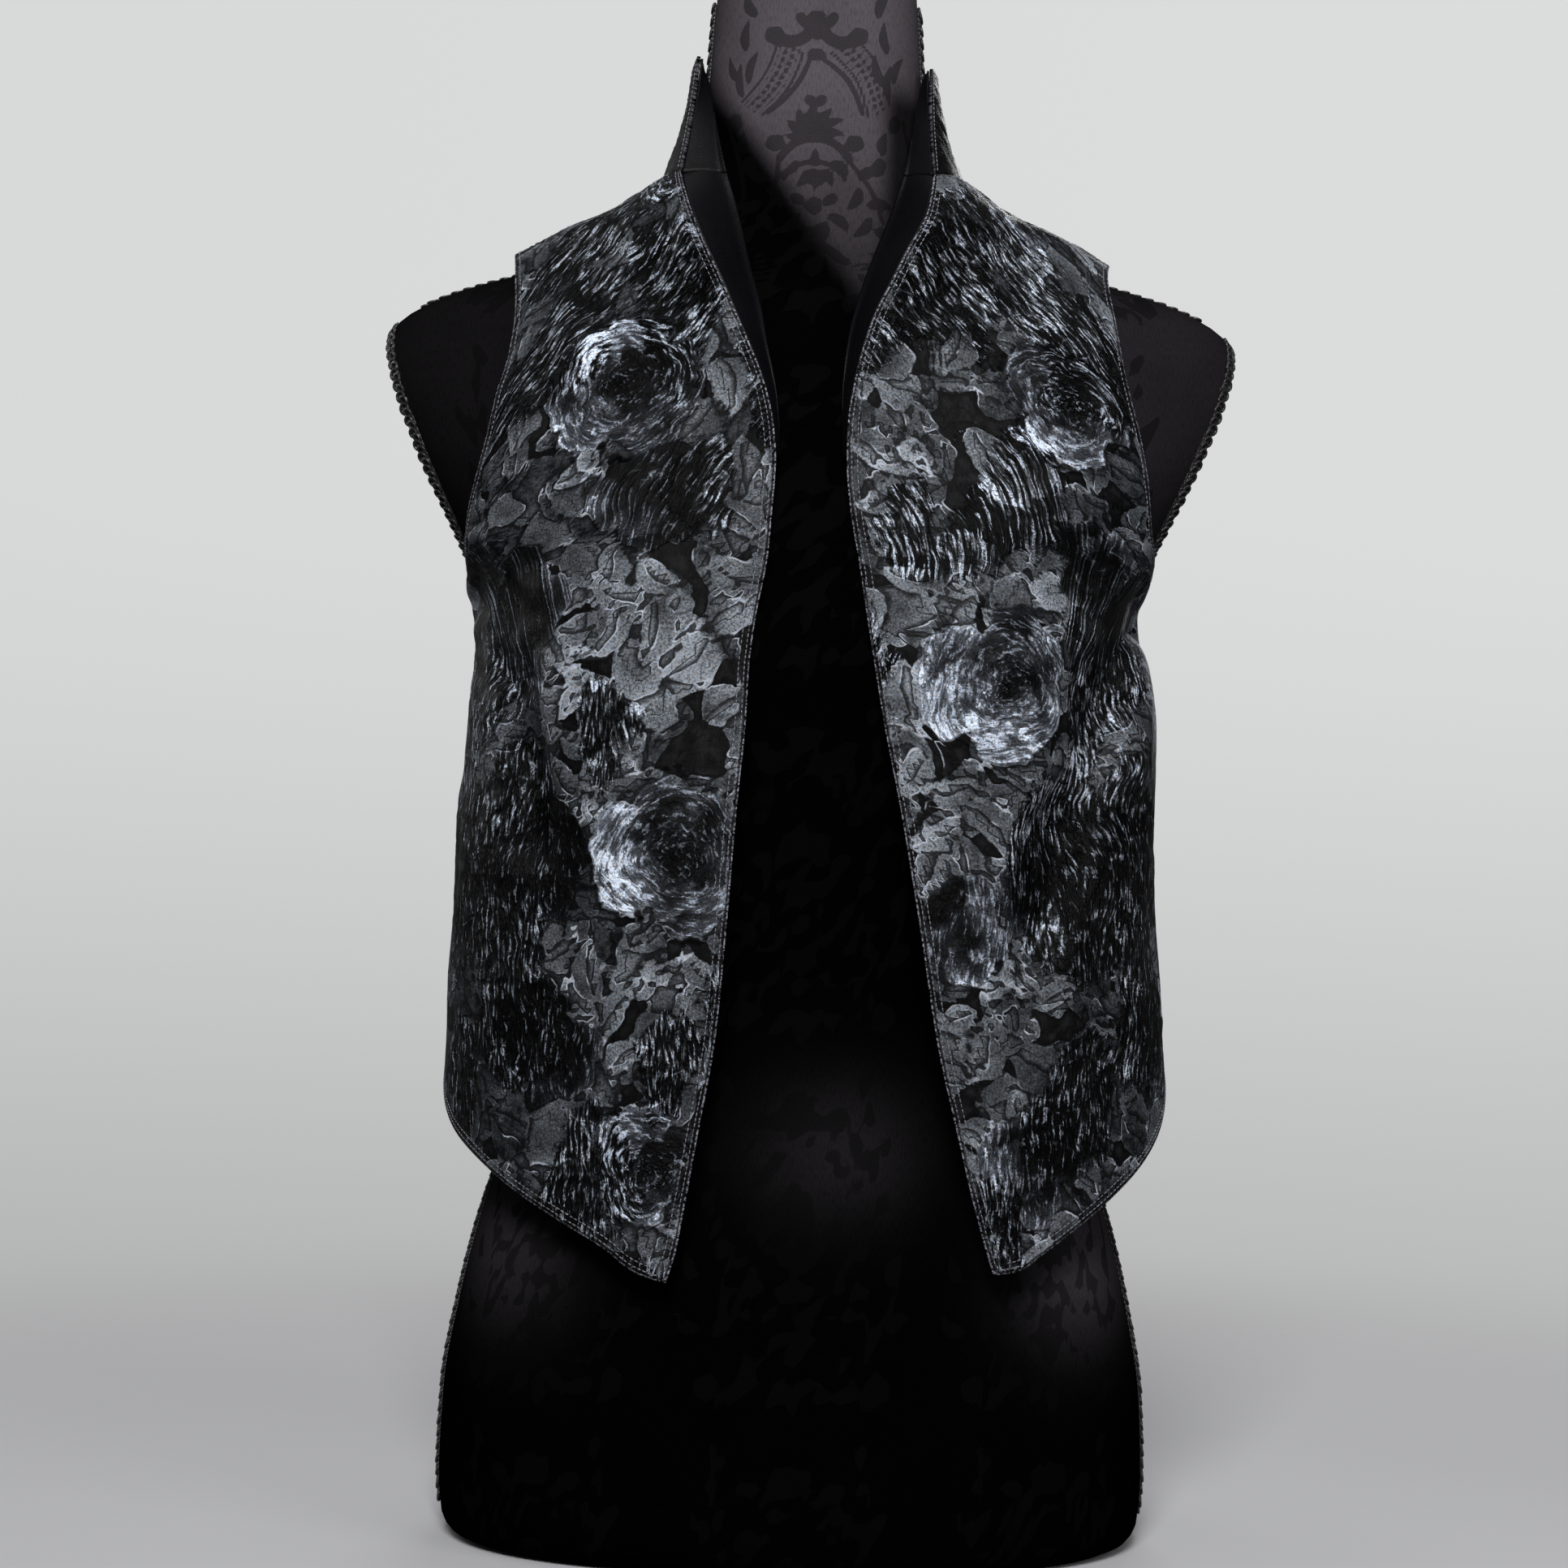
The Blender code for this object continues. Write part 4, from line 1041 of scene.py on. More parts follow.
class Print:
    """The drawn figures of a cloth, as fields over its points, in millimetres.

    figure is how far inside the drawn figures a point lies, edge how far it lies on the upper side of
    the nearest line of the drawing, near the same without a sign, and tone the brightness of the figure.
    bloom is how far inside a rose, zone the share of crinkled satin, vein the distance from a leaf's side
    vein, and swirl the places across and along the crinkles.
    """

    def __init__(self, u, v, wide, tall, drift=1.0):
        self.wide = wide
        self.tall = tall
        self.u = u + drift * (1.5 * noise(u / 11, v / 9, 1) + 0.8 * noise(u / 4.3, v / 3.7, 2))
        self.v = v + drift * (1.5 * noise(u / 9, v / 11, 3) + 0.8 * noise(u / 3.9, v / 4.1, 4))
        self.figure = np.full(u.shape, -TONE_REACH)
        self.edge = np.full(u.shape, FAR)
        self.near = np.full(u.shape, FAR)
        self.tone = np.full(u.shape, 0.4)
        self.bloom = np.full(u.shape, -FAR)
        self.zone = np.zeros(u.shape)
        self.vein = np.full(u.shape, FAR)
        self.swirl = crinkle_lines(u, v)

    def local(self, x, z, turn, reach):
        """The points within reach of a place, with their offsets along and across a direction."""
        du = (self.u - x + self.wide / 2) % self.wide - self.wide / 2
        dv = (self.v - z + self.tall / 2) % self.tall - self.tall / 2
        at = np.nonzero((np.abs(du) < reach) & (np.abs(dv) < reach))
        c = math.cos(math.radians(turn))
        s = math.sin(math.radians(turn))
        return at, du[at] * c + dv[at] * s, -du[at] * s + dv[at] * c

    def shape(self, at, depth, tone, bloom=False):
        """Lays a shape over the drawing; depth is the distance inside its outline."""
        if bloom:
            self.bloom[at] = np.maximum(self.bloom[at], depth)
        else:
            self.bloom[at] = np.minimum(self.bloom[at], -depth)
        figure = self.figure[at]
        near = self.near[at]
        inside = depth > 0
        closest = inside | ((figure < 0) & (depth > figure))
        self.tone[at] = np.where(closest, tone, self.tone[at])
        beside = ~inside & (-depth < near)
        self.edge[at] = np.where(inside | beside, depth, self.edge[at])
        self.near[at] = np.where(inside, depth, np.where(beside, -depth, near))
        self.figure[at] = np.maximum(figure, depth)

    def line(self, at, across):
        """Lays a thin line over the drawing; across is the signed distance from it."""
        closer = np.abs(across) < self.near[at]
        self.edge[at] = np.where(closer, across, self.edge[at])
        self.near[at] = np.where(closer, np.abs(across), self.near[at])

    def petal(self, x, z, long, wide, turn, tone, bloom=False):
        """A round petal with a scalloped outline, lighter at its rim."""
        slim = min(long, wide)
        at, p, q = self.local(x, z, turn, max(long, wide) * 1.08 * (1 + TONE_REACH / slim))
        scallop = 1 + 0.06 * np.sin(5 * np.arctan2(q, p) + x + z)
        r = np.sqrt((p / long) ** 2 + (q / wide) ** 2) / scallop
        rim = np.clip(r, 0, 1) ** 2
        shade = tone * (0.72 + 0.5 * rim) * (0.86 + 0.3 * np.clip(p / long, -1, 1))
        self.shape(at, (1 - r) * slim, shade, bloom)

    def bare_leaf(self, x, z, long, wide, turn, tone):
        """A broad pointed leaf with a toothed edge; gives its places and their depth inside it."""
        at, p, q = self.local(x, z, turn, long + 1.3 * TONE_REACH)
        t = np.clip(p / long, 0, 1)
        q = q - 0.12 * long * np.sin(math.pi * t)
        teeth = 1 + 0.09 * np.abs(np.sin(p * 1.05 + x)) + 0.05 * np.sin(p * 0.5 + z)
        half = wide * np.sin(math.pi * t**0.75) ** 0.7 * (1 - 0.2 * t) * teeth
        past = np.maximum(np.maximum(-p, p - long), 0)
        depth = half - np.abs(q) - past
        self.shape(at, depth * 0.9, tone * (0.70 + 0.5 * t - 0.28 * (q > 0)))
        return at, p, q, depth

    def leaf(self, x, z, long, wide, turn, tone):
        """A leaf with a middle vein and slanting side veins."""
        at, p, q, depth = self.bare_leaf(x, z, long, wide, turn, tone)
        middle = (p > 0.04 * long) & (p < 0.90 * long)
        self.line(tuple(a[middle] for a in at), q[middle])
        gap = 0.17 * long
        step = (p - 0.9 * np.abs(q)) / gap
        side = np.abs(step - np.round(step)) * gap * 0.74
        self.vein[at] = np.where(depth > 0, side, self.vein[at])

    def stem(self, x, z, long, turn, bow, waves):
        """A thin waving line."""
        at, p, q = self.local(x, z, turn, long * 1.1)
        on = (p > 0) & (p < long)
        q = q - bow * np.sin(2 * math.pi * waves * p / long)
        self.line(tuple(a[on] for a in at), q[on])

    def arch(self, x, z, radius, wide, turn, tone):
        """A band bent round a centre, with round ends."""
        at, p, q = self.local(x, z, turn, radius + wide + TONE_REACH)
        angle = np.clip(np.arctan2(q, p), -ARCH_SPREAD, ARCH_SPREAD)
        away = np.hypot(p - radius * np.cos(angle), q - radius * np.sin(angle))
        self.shape(at, wide - away, tone)

    def strip(self, x, z, long, turn, reach):
        """Places along and across a bent strip, and how far they lie past its ends."""
        at, p, q = self.local(x, z, turn, reach)
        q = q - STRIP_BOW * long * np.sin(math.pi * np.clip(p / long, 0, 1))
        past = np.maximum(np.abs(p - long / 2) - long / 2, 0)
        return at, p, q, past

    def band(self, x, z, long, wide, turn, tone):
        """A plain bent strip of even width."""
        at, _, q, past = self.strip(x, z, long, turn, long + wide + TONE_REACH)
        self.shape(at, wide - np.hypot(q, past), tone)

    def trellis(self, x, z, long, wide, turn, tone):
        """A bent ribbon with an outline on either side and a lattice of small squares between."""
        at, p, q, past = self.strip(x, z, long, turn, long * 1.2)
        outline = OUTLINE_HALF - np.abs(np.abs(q) - wide - OUTLINE_OFF) - past
        across = np.abs((q / LATTICE) % 1 - 0.5) * LATTICE
        along = np.abs((p / LATTICE) % 1 - 0.5) * LATTICE
        square = SQUARE_HALF - np.maximum(across, along)
        square = np.minimum(square, np.minimum(wide - np.abs(q), 1.0 - past))
        self.shape(at, np.maximum(outline, square), tone)

    def rose(self, x, z, size, turn, tone):
        """Rings of round petals, lighter on the side that the light comes from."""
        for ring, (away, wide, long, count, light) in enumerate(ROSE_RINGS):
            for i in range(count):
                angle = turn + 360 * i / count + 23 * ring + 14 * math.sin(x + 3 * i)
                reach = size * away * (1 + 0.16 * math.sin(z + 5 * i))
                px = x + reach * math.cos(math.radians(angle))
                pz = z + reach * math.sin(math.radians(angle))
                facing = 0.80 + 0.34 * math.cos(math.radians(angle - turn - 160))
                shade = tone * light * facing * (1 + 0.25 * math.sin(2.1 * i + x))
                broad = size * wide * (1 + 0.2 * math.sin(4 * i + z))
                self.petal(px, pz, size * long, broad, angle, shade, True)
        if tone > ROSE_CRINKLED:
            self.rose_crinkles(x, z, size, turn)

    def rose_crinkles(self, x, z, size, turn):
        """Turns the crinkles so that they run round a rose."""
        at, p, q = self.local(x, z, turn, size * 1.25)
        r = np.hypot(p, q)
        angle = np.arctan2(q, p)
        r = r * (1 + 0.10 * np.sin(3 * angle + x)) + 1.6 * np.sin(angle)
        mine = (self.bloom[at] > -3) & (r < size * 1.2)
        ring = np.stack([r / CRINKLE_WIDE, 3.4 * np.cos(angle), 3.4 * np.sin(angle)], axis=-1)
        self.swirl[at] = np.where(mine[:, None], ring, self.swirl[at])

    def satin(self, x, z, size, turn):
        """A patch where the crinkled satin ground covers the drawing, soft at its edge."""
        at, p, q = self.local(x, z, turn, size * 2.0)
        r = np.sqrt((p / size) ** 2 + (q / (0.62 * size)) ** 2)
        r = r * (1 + 0.16 * np.sin(3 * np.arctan2(q, p) + x))
        self.zone[at] = np.maximum(self.zone[at], np.clip(1.55 - r, 0, 1))

    def spray(self, x, z, size, turn, tone):
        """Leaves off a short stem."""
        self.stem(x, z, size * 1.3, turn, 3, 0.5)
        for i, (along, away, long) in enumerate(SPRAY_LEAVES):
            px = x + size * along * math.cos(math.radians(turn))
            pz = z + size * along * math.sin(math.radians(turn))
            shade = tone * (1 + 0.3 * math.sin(2.3 * i + z))
            self.leaf(px, pz, size * long, size * long * 0.26, turn + away, shade)

    def bud(self, x, z, size, turn, tone):
        """Two small leaves on a stem with a knot between them."""
        self.leaf(x, z, size * 1.1, size * 0.34, turn, tone)
        self.leaf(x, z, size * 0.8, size * 0.26, turn + 95, tone * 0.9)
        self.petal(x, z, size * 0.34, size * 0.28, turn, tone)
        self.stem(x, z, size * 1.9, turn + 175, 4, 0.5)

    def filled(self, step, seed, tone, share=1.0):
        """A ground layer of leaves and petals, one to a cell, each turned its own way."""
        chance = np.random.default_rng(seed)
        across = int(round(self.wide / step))
        down = int(round(self.tall / step))
        for i in range(across):
            for j in range(down):
                shift = 0.5 * (j % 2)
                x = (i + shift + chance.uniform(-0.25, 0.25)) * self.wide / across
                z = (j + chance.uniform(-0.25, 0.25)) * self.tall / down
                turn = chance.uniform(0, 360)
                size = step * chance.uniform(1.1, 1.6)
                light = tone * chance.uniform(0.4, 1.6)
                if chance.random() > share:
                    continue
                if chance.random() < 0.85:
                    self.leaf(x, z, size, size * chance.uniform(0.28, 0.42), turn, light)
                else:
                    self.petal(x, z, size * 0.5, size * 0.40, turn, light)


# Painted light: the waistcoat is painted brightest in a band level with the waist, and its flanks are painted
# in shade
WAIST_LEVEL = 405
WAIST_TALL = 46
FLANK_FROM = 128


def jacquard_print(u, v):
    """The waistcoat's flowers and leaves, with painted light and shade multiplied into their tone."""
    drawn = Print(u, v, REPEAT_WIDE, REPEAT_TALL)
    drawn.filled(24.0, 5, 0.36)
    drawn.filled(19.0, 8, 0.50, 0.62)
    for row in SATIN:
        drawn.satin(*row)
    for row in SPRAYS:
        drawn.spray(*row)
    for row in ROSES:
        drawn.rose(*row)
    for row in BUDS:
        drawn.bud(*row)
    for row in STEMS:
        drawn.stem(*row)
    # Painted light and shade: a band of light over the leaves at the waist, painted shade on the flanks low
    # down, and the right half painted a tenth lighter than the left
    waist = np.exp(-(((v - WAIST_LEVEL) / WAIST_TALL) ** 2))
    from_middle = np.abs((u + BACK_MIDDLE) % REPEAT_WIDE - BACK_MIDDLE)
    flank = soft_step(from_middle - FLANK_FROM, 34)
    waist = waist * (1 - flank) * (drawn.bloom < 0)
    light = (0.88 + 0.75 * waist) * (1 - 0.5 * flank * soft_step(350 - v, 60))
    drawn.tone *= light * (1 + 0.10 * np.tanh(u / 20))
    return drawn


def crinkle(u, v, drawn):
    """The crinkled surface of the cloth: soft ribs that turn round the blooms, and a slow swell."""
    swirl = drawn.swirl
    along = swirl[..., 1] + 0.7 * np.abs(swirl[..., 2])
    ribs = noise(swirl[..., 0] / 2.0, along, 12) + 0.6 * noise(swirl[..., 0] / 1.25, 1.7 * along, 13)
    swell = noise(u / 14, v / 38, 14)
    return ribs, swell


def crease_depth(side, half, x, z):
    """How far the small creases move the cloth outward over whole arrays of places."""
    total = np.zeros_like(x)
    for x0, z0, x1, z1, depth, wide in CREASES[side, half]:
        dx = x1 - x0
        dz = z1 - z0
        t = ((x - x0) * dx + (z - z0) * dz) / (dx * dx + dz * dz)
        held = np.clip(t, 0, 1)
        fade = np.sin(math.pi * np.clip(0.15 + 0.7 * held, 0, 1))
        bend = 2.2 * np.sin(held * 5 + x0)
        away = np.hypot(x - x0 - held * dx - bend, z - z0 - held * dz)
        trough = depth * fade * np.exp(-((away / wide) ** 2))
        beside = 0.35 * depth * np.exp(-(((away - 2 * wide) / wide) ** 2))
        total += trough - beside
    return total


def edge_distances(grid):
    """Distance of every point of a grid to each of its edges."""
    return {
        "top": arc_from(grid, 0, 0),
        "hem": -arc_from(grid, 0, -1),
        "first": arc_from(grid, 1, 0),
        "last": -arc_from(grid, 1, -1),
    }


def nearest(distances):
    """The least of several distances at every point."""
    least = FAR_FROM_EDGE
    for away in distances:
        least = np.minimum(least, away)
    return least


def shell_faces(rows, columns, outward):
    """Four-cornered faces of a closed thin sheet: its outer side, its inner side and the rim between."""
    count = rows * columns
    index = np.arange(count).reshape(rows, columns)
    a = index[:-1, :-1].ravel()
    b = index[:-1, 1:].ravel()
    c = index[1:, 1:].ravel()
    d = index[1:, :-1].ravel()
    top = np.stack([a, b, c, d], axis=1) if outward else np.stack([a, d, c, b], axis=1)
    bottom = top[:, ::-1] + count
    ring = list(index[0]) + list(index[1:, -1]) + list(index[-1, -2::-1]) + list(index[-2:0:-1, 0])
    ring = np.array(ring)
    after = np.roll(ring, -1)
    if outward:
        rim = np.stack([after, ring, ring + count, after + count], axis=1)
    else:
        rim = np.stack([ring, after, after + count, ring + count], axis=1)
    return np.concatenate([top, bottom, rim])


def shell(name, grid, normals, thick, uv, fields):
    """A closed thin sheet, smooth, with its UVs in metres and its fields."""
    rows, columns = grid.shape[:2]
    outer = grid + normals * thick / 2
    inner = grid - normals * thick / 2
    points = np.concatenate([outer.reshape(-1, 3), inner.reshape(-1, 3)])
    middle = (rows // 2, columns // 2)
    down = grid[middle[0] + 1, middle[1]] - grid[middle]
    across = grid[middle[0], middle[1] + 1] - grid[middle]
    outward = np.dot(np.cross(across, down), normals[middle]) > 0
    mesh = mesh_from(name, points, shell_faces(rows, columns, outward))
    lay_uv(mesh, np.concatenate([uv.reshape(-1, 2), uv.reshape(-1, 2)]) * MM)
    for key, value in fields.items():
        value = value.reshape(-1, 3)
        lay_field(mesh, key, np.concatenate([value, value]))
    return placed(name, mesh)


def mesh_from(name, points, faces):
    """A mesh from points in millimetres and faces of four corners."""
    mesh = bpy.data.meshes.new(name)
    mesh.vertices.add(len(points))
    mesh.vertices.foreach_set("co", (np.asarray(points, np.float32) * MM).ravel())
    mesh.loops.add(faces.size)
    mesh.loops.foreach_set("vertex_index", faces.astype(np.int32).ravel())
    mesh.polygons.add(len(faces))
    mesh.polygons.foreach_set("loop_start", np.arange(0, faces.size, faces.shape[1], dtype=np.int32))
    mesh.update(calc_edges=True)
    mesh.validate()
    mesh.shade_smooth()
    return mesh


def plain_mesh(name, points, faces):
    """A mesh from points in millimetres and faces of any number of corners."""
    mesh = bpy.data.meshes.new(name)
    mesh.from_pydata([tuple(p) for p in np.asarray(points) * MM], [], faces)
    return mesh


def lay_uv(mesh, values):
    """UVs given per point."""
    loops = np.empty(len(mesh.loops), np.int32)
    mesh.loops.foreach_get("vertex_index", loops)
    layer = mesh.uv_layers.new(name="UVMap")
    layer.data.foreach_set("uv", values[loops].astype(np.float32).ravel())


def lay_field(mesh, name, values):
    """Three numbers given per point, for a material or a node tree to read."""
    layer = mesh.attributes.new(name, "FLOAT_VECTOR", "POINT")
    layer.data.foreach_set("vector", values.astype(np.float32).ravel())


def placed(name, mesh):
    """An object at the origin with this mesh."""
    made = bpy.data.objects.new(name, mesh)
    bpy.context.scene.collection.objects.link(made)
    return made


def plug(tree, value, slot):
    """Puts a number, a colour or another node's result into a slot."""
    if isinstance(value, Shade):
        tree.links.new(value.socket, slot)
    elif isinstance(value, bpy.types.NodeSocket):
        tree.links.new(value, slot)
    else:
        slot.default_value = value


def add_node(tree, kind, settings=(), sockets=()):
    """A node of this kind: its settings first, then the values or links of its sockets."""
    made = tree.nodes.new(kind)
    for key, value in dict(settings).items():
        setattr(made, key, value)
    for key, value in dict(sockets).items():
        plug(tree, value, made.inputs[key])
    return made


class Shade:
    """A number in a material's node tree that can be used in sums."""

    def __init__(self, tree, socket):
        self.tree = tree
        self.socket = socket

    def math(self, kind, *others, clamp=False):
        settings = {"operation": kind, "use_clamp": clamp}
        made = add_node(self.tree, "ShaderNodeMath", settings, enumerate((self, *others)))
        return Shade(self.tree, made.outputs[0])

    def __add__(self, other):
        return self.math("ADD", other)

    def __radd__(self, other):
        return self.math("ADD", other)

    def __sub__(self, other):
        return self.math("SUBTRACT", other)

    def __rsub__(self, other):
        return self.math("MULTIPLY", -1.0).math("ADD", other)

    def __mul__(self, other):
        return self.math("MULTIPLY", other)

    def __rmul__(self, other):
        return self.math("MULTIPLY", other)

    def size(self):
        """The number without its sign."""
        return self.math("ABSOLUTE")

    def held(self):
        """The number, held between 0 and 1."""
        return self.math("ADD", 0.0, clamp=True)

    def most(self, other):
        return self.math("MAXIMUM", other)

    def rise(self, low, high, start=0.0, end=1.0):
        """Start below low, end above high and a soft step between."""
        sockets = {"Value": self, "From Min": low, "From Max": high, "To Min": start, "To Max": end}
        made = add_node(self.tree, "ShaderNodeMapRange", {"interpolation_type": "SMOOTHSTEP"}, sockets)
        return Shade(self.tree, made.outputs["Result"])


# Millimetres in a metre, because the coordinates are in metres and the sizes below in millimetres
METRE = 1000.0


class Look:
    """A material being built: its node tree, its shader and the coordinates it reads."""

    def __init__(self, name):
        self.material = bpy.data.materials.new(name)
        self.material.use_nodes = True
        self.tree = self.material.node_tree
        self.shader = self.tree.nodes["Principled BSDF"]

    def node(self, kind, settings=(), sockets=()):
        return add_node(self.tree, kind, settings, sockets)

    def uv(self, up=METRE):
        """The cloth's own coordinates in millimetres, or drawn out along the cloth as asked."""
        source = self.node("ShaderNodeUVMap", {"uv_map": "UVMap"})
        sockets = {"Vector": source.outputs["UV"], "Scale": (METRE, up, 1.0)}
        return self.node("ShaderNodeMapping", (), sockets).outputs["Vector"]

    def place(self):
        """The place in space, in millimetres."""
        source = self.node("ShaderNodeTexCoord")
        sockets = {"Vector": source.outputs["Object"], "Scale": (METRE, METRE, METRE)}
        return self.node("ShaderNodeMapping", (), sockets).outputs["Vector"]

    def noise(self, where, across, detail=2.0, rough=0.5):
        """Noise from 0 to 1 whose grains are about this far across."""
        sockets = {"Vector": where, "Scale": 1.0 / across, "Detail": detail, "Roughness": rough}
        return Shade(self.tree, self.node("ShaderNodeTexNoise", (), sockets).outputs["Fac"])

    def twill(self, where, across, bend=0.0):
        """Slanting soft ribs this far apart, from 0 to 1."""
        settings = {"bands_direction": "DIAGONAL", "wave_profile": "SIN"}
        scale = 2 * math.pi / across / 20
        sockets = {"Vector": where, "Scale": scale, "Distortion": bend, "Detail": 0.0}
        return Shade(self.tree, self.node("ShaderNodeTexWave", settings, sockets).outputs["Fac"])

    def parts(self, vector):
        """The three numbers of a vector."""
        split = self.node("ShaderNodeSeparateXYZ", (), {0: vector})
        return [Shade(self.tree, out) for out in split.outputs]

    def attribute(self, name):
        return self.node("ShaderNodeAttribute", {"attribute_name": name}).outputs["Vector"]

    def field(self, name):
        """The three numbers of one of the cloth's fields."""
        return self.parts(self.attribute(name))

    def mixed(self, share, first, second, way="MIX"):
        """A share of the way from the first colour to the second."""
        colours = [(*c, 1.0) if isinstance(c, tuple) else c for c in (first, second)]
        settings = {"data_type": "RGBA", "blend_type": way}
        sockets = {0: share, 6: colours[0], 7: colours[1]}
        return self.node("ShaderNodeMix", settings, sockets).outputs[2]

    def bumped(self, height, deep, before=None):
        """A bump in metres on top of another one."""
        sockets = {"Strength": 1.0, "Distance": deep, "Height": height}
        if before is not None:
            sockets["Normal"] = before
        return self.node("ShaderNodeBump", (), sockets).outputs["Normal"]

    def finish(self, colour, rough, normal=None, gloss=0.5):
        """Sets the shader, with its specular level as gloss, and gives back the material."""
        values = {"Base Color": colour, "Roughness": rough, "Specular IOR Level": gloss}
        if normal is not None:
            values["Normal"] = normal
        for key, value in values.items():
            plug(self.tree, value, self.shader.inputs[key])
        return self.material


# The jacquard's colours, from the ground up
GROUND_DARK = (0.0018, 0.0018, 0.0024)
GROUND_LIGHT = (0.018, 0.018, 0.0195)
GROUND_THREAD = (0.04, 0.04, 0.045)
LEAF_DARK = (0.005, 0.0055, 0.0065)
LEAF_LIGHT = (0.285, 0.305, 0.33)
LEAF_VEIN = (0.010, 0.010, 0.011)
PETAL_DARK = (0.0012, 0.0014, 0.0019)
PETAL_LIGHT = (0.175, 0.188, 0.212)
# The blooms' silvery threads, painted brighter as highlights
SILVER_HIGHLIGHT_DULL = (0.24, 0.26, 0.30)
SILVER_HIGHLIGHT_BRIGHT = (0.80, 0.86, 0.95)
SILVER_WORN = (0.10, 0.11, 0.13)
PAINTED_SHADOW_BESIDE_LINE = (0.002, 0.002, 0.0025)
DRAWN_LINE = (0.48, 0.51, 0.56)
# Painted shade for the crinkles' hollows and painted highlight for their crests
CRINKLE_PAINTED_SHADE = (0.0008, 0.0008, 0.0012)
CRINKLE_PAINTED_HIGHLIGHT = (0.66, 0.72, 0.82)
THREAD_COOL = (0.50, 0.72, 1.0)
THREAD_WARM = (1.0, 0.80, 0.62)
SEAM_PAINTED_SHADE = (0.002, 0.002, 0.0025)
RIM_DARK = (0.003, 0.003, 0.0035)
RIM_PAINTED_GLINT = (0.34, 0.34, 0.38)
PLAIN_BLACK = (0.0016, 0.0016, 0.002)

# How much the cloth's dark tones are deepened
DEEPENED = 1.28


class Jacquard(Look):
    """Black jacquard: grey speckled leaves, silvery blooms and a crinkled black satin ground."""

    def __init__(self, name):
        super().__init__(name)
        uv = self.uv()
        self.cloth = uv
        self.figure, self.edge, self.near = self.field("print")
        self.tone, self.vein, self.painted_seam_shade = self.field("hand")
        self.rim, self.zone, self.bloom = self.field("rim")
        self.fray = self.noise(uv, 2.2, 4.0, 0.66) - 0.5
        self.grain = self.noise(uv, 1.25, 3.0, 0.9)
        self.threads = self.noise(self.uv(230.0), 0.8, 2.0, 0.6)
        self.patch = self.noise(uv, 24.0)
        self.ragged = self.noise(uv, 6.5, 4.0, 0.66)
        self.streak = self.noise(self.attribute("swirl"), 1.0, 3.0, 0.62)
        self.speck = (1.0 + 6.0 * (self.grain - 0.5)).most(0.04)
        self.glow = (self.tone + 0.9 * (self.patch - 0.5)).held()
        self.drawn = (self.figure + 2.6 * self.fray).rise(-0.25, 0.3)
        self.blooming = (self.bloom + 3.0 * self.fray).rise(-0.5, 0.5)
        # flake marks the blooms' silvery threads, painted as bright highlights most where the tone, with its
        # painted light, is high; it also raises the bump
        self.flake = (self.ragged + 0.42 * (self.tone - 0.74) + 0.30 * (self.patch - 0.5)).rise(0.50, 0.54)
        self.crinkled = self.satin_share()
        self.folded = (self.crinkled + 0.55 * self.blooming).held()
        self.line = self.line_share()
        # shade is a painted shadow just outside each figure's outline and on one side of each line, as if the
        # figures overlapped; it also sinks the bump there
        self.shade = (self.edge + 0.5 * self.fray).rise(-3.4, -0.4)
        self.shade = self.shade * (self.edge + 0.5 * self.fray).rise(-0.1, 0.3, 1.0, 0.0)

    def satin_share(self):
        """Where the ground is crinkled satin: in its patches, and more towards the shoulders."""
        up = self.parts(self.cloth)[1]
        cloud = self.noise(self.cloth, 46.0, 1.0)
        share = self.zone + up.rise(505.0, 590.0) * 0.27
        share = share + 1.1 * (self.patch - 0.5) + 0.8 * (cloud - 0.5) + 0.9 * (self.ragged - 0.5)
        return share.rise(0.30, 0.52) * (1.0 - 0.45 * self.blooming)

    def line_share(self):
        """The thin light lines of the drawing, which come and go."""
        thin = (self.edge + 1.0 * self.fray).size().rise(0.16, 0.46, 1.0, 0.0)
        thin = thin * self.near.rise(1.5, 2.4, 1.0, 0.0)
        seen = (self.noise(self.cloth, 12.0, 1.0) + 0.2 * (self.tone - 0.4)).rise(0.50, 0.62)
        return thin * seen * (0.2 + 1.1 * self.grain) * (1.0 - 0.5 * self.blooming)

    def ground_colour(self):
        cloud = self.noise(self.cloth, 7.0)
        ground = self.mixed(cloud.rise(0.35, 0.7), GROUND_DARK, GROUND_LIGHT)
        return self.mixed(self.threads.rise(0.5, 0.75) * 0.25, ground, GROUND_THREAD)

    def leaf_colour(self):
        light = (self.tone * (0.35 + 1.3 * self.patch) + 0.55 * (self.ragged - 0.5)).held()
        leaf = self.mixed((light * self.speck).held(), LEAF_DARK, LEAF_LIGHT)
        return self.mixed(self.vein.rise(0.15, 0.55, 0.5, 0.0), leaf, LEAF_VEIN)

    def bloom_colour(self):
        body = self.mixed((self.glow.rise(0.10, 0.75) * self.speck).held(), PETAL_DARK, PETAL_LIGHT)
        # Silvery threads painted as highlights on the blooms
        silver_highlight = self.mixed(self.patch.rise(0.3, 0.7), SILVER_HIGHLIGHT_DULL, SILVER_HIGHLIGHT_BRIGHT)
        silver_highlight = self.mixed((1.0 - self.speck * 0.8).held(), silver_highlight, SILVER_WORN)
        return self.mixed((self.flake * 0.92).held(), body, silver_highlight)

    def drawing(self):
        """The ground with the leaves, the blooms and the lines on it, and a painted shadow beside the
        figures' outlines.
        """
        cloth = self.mixed(self.drawn, self.ground_colour(), self.leaf_colour())
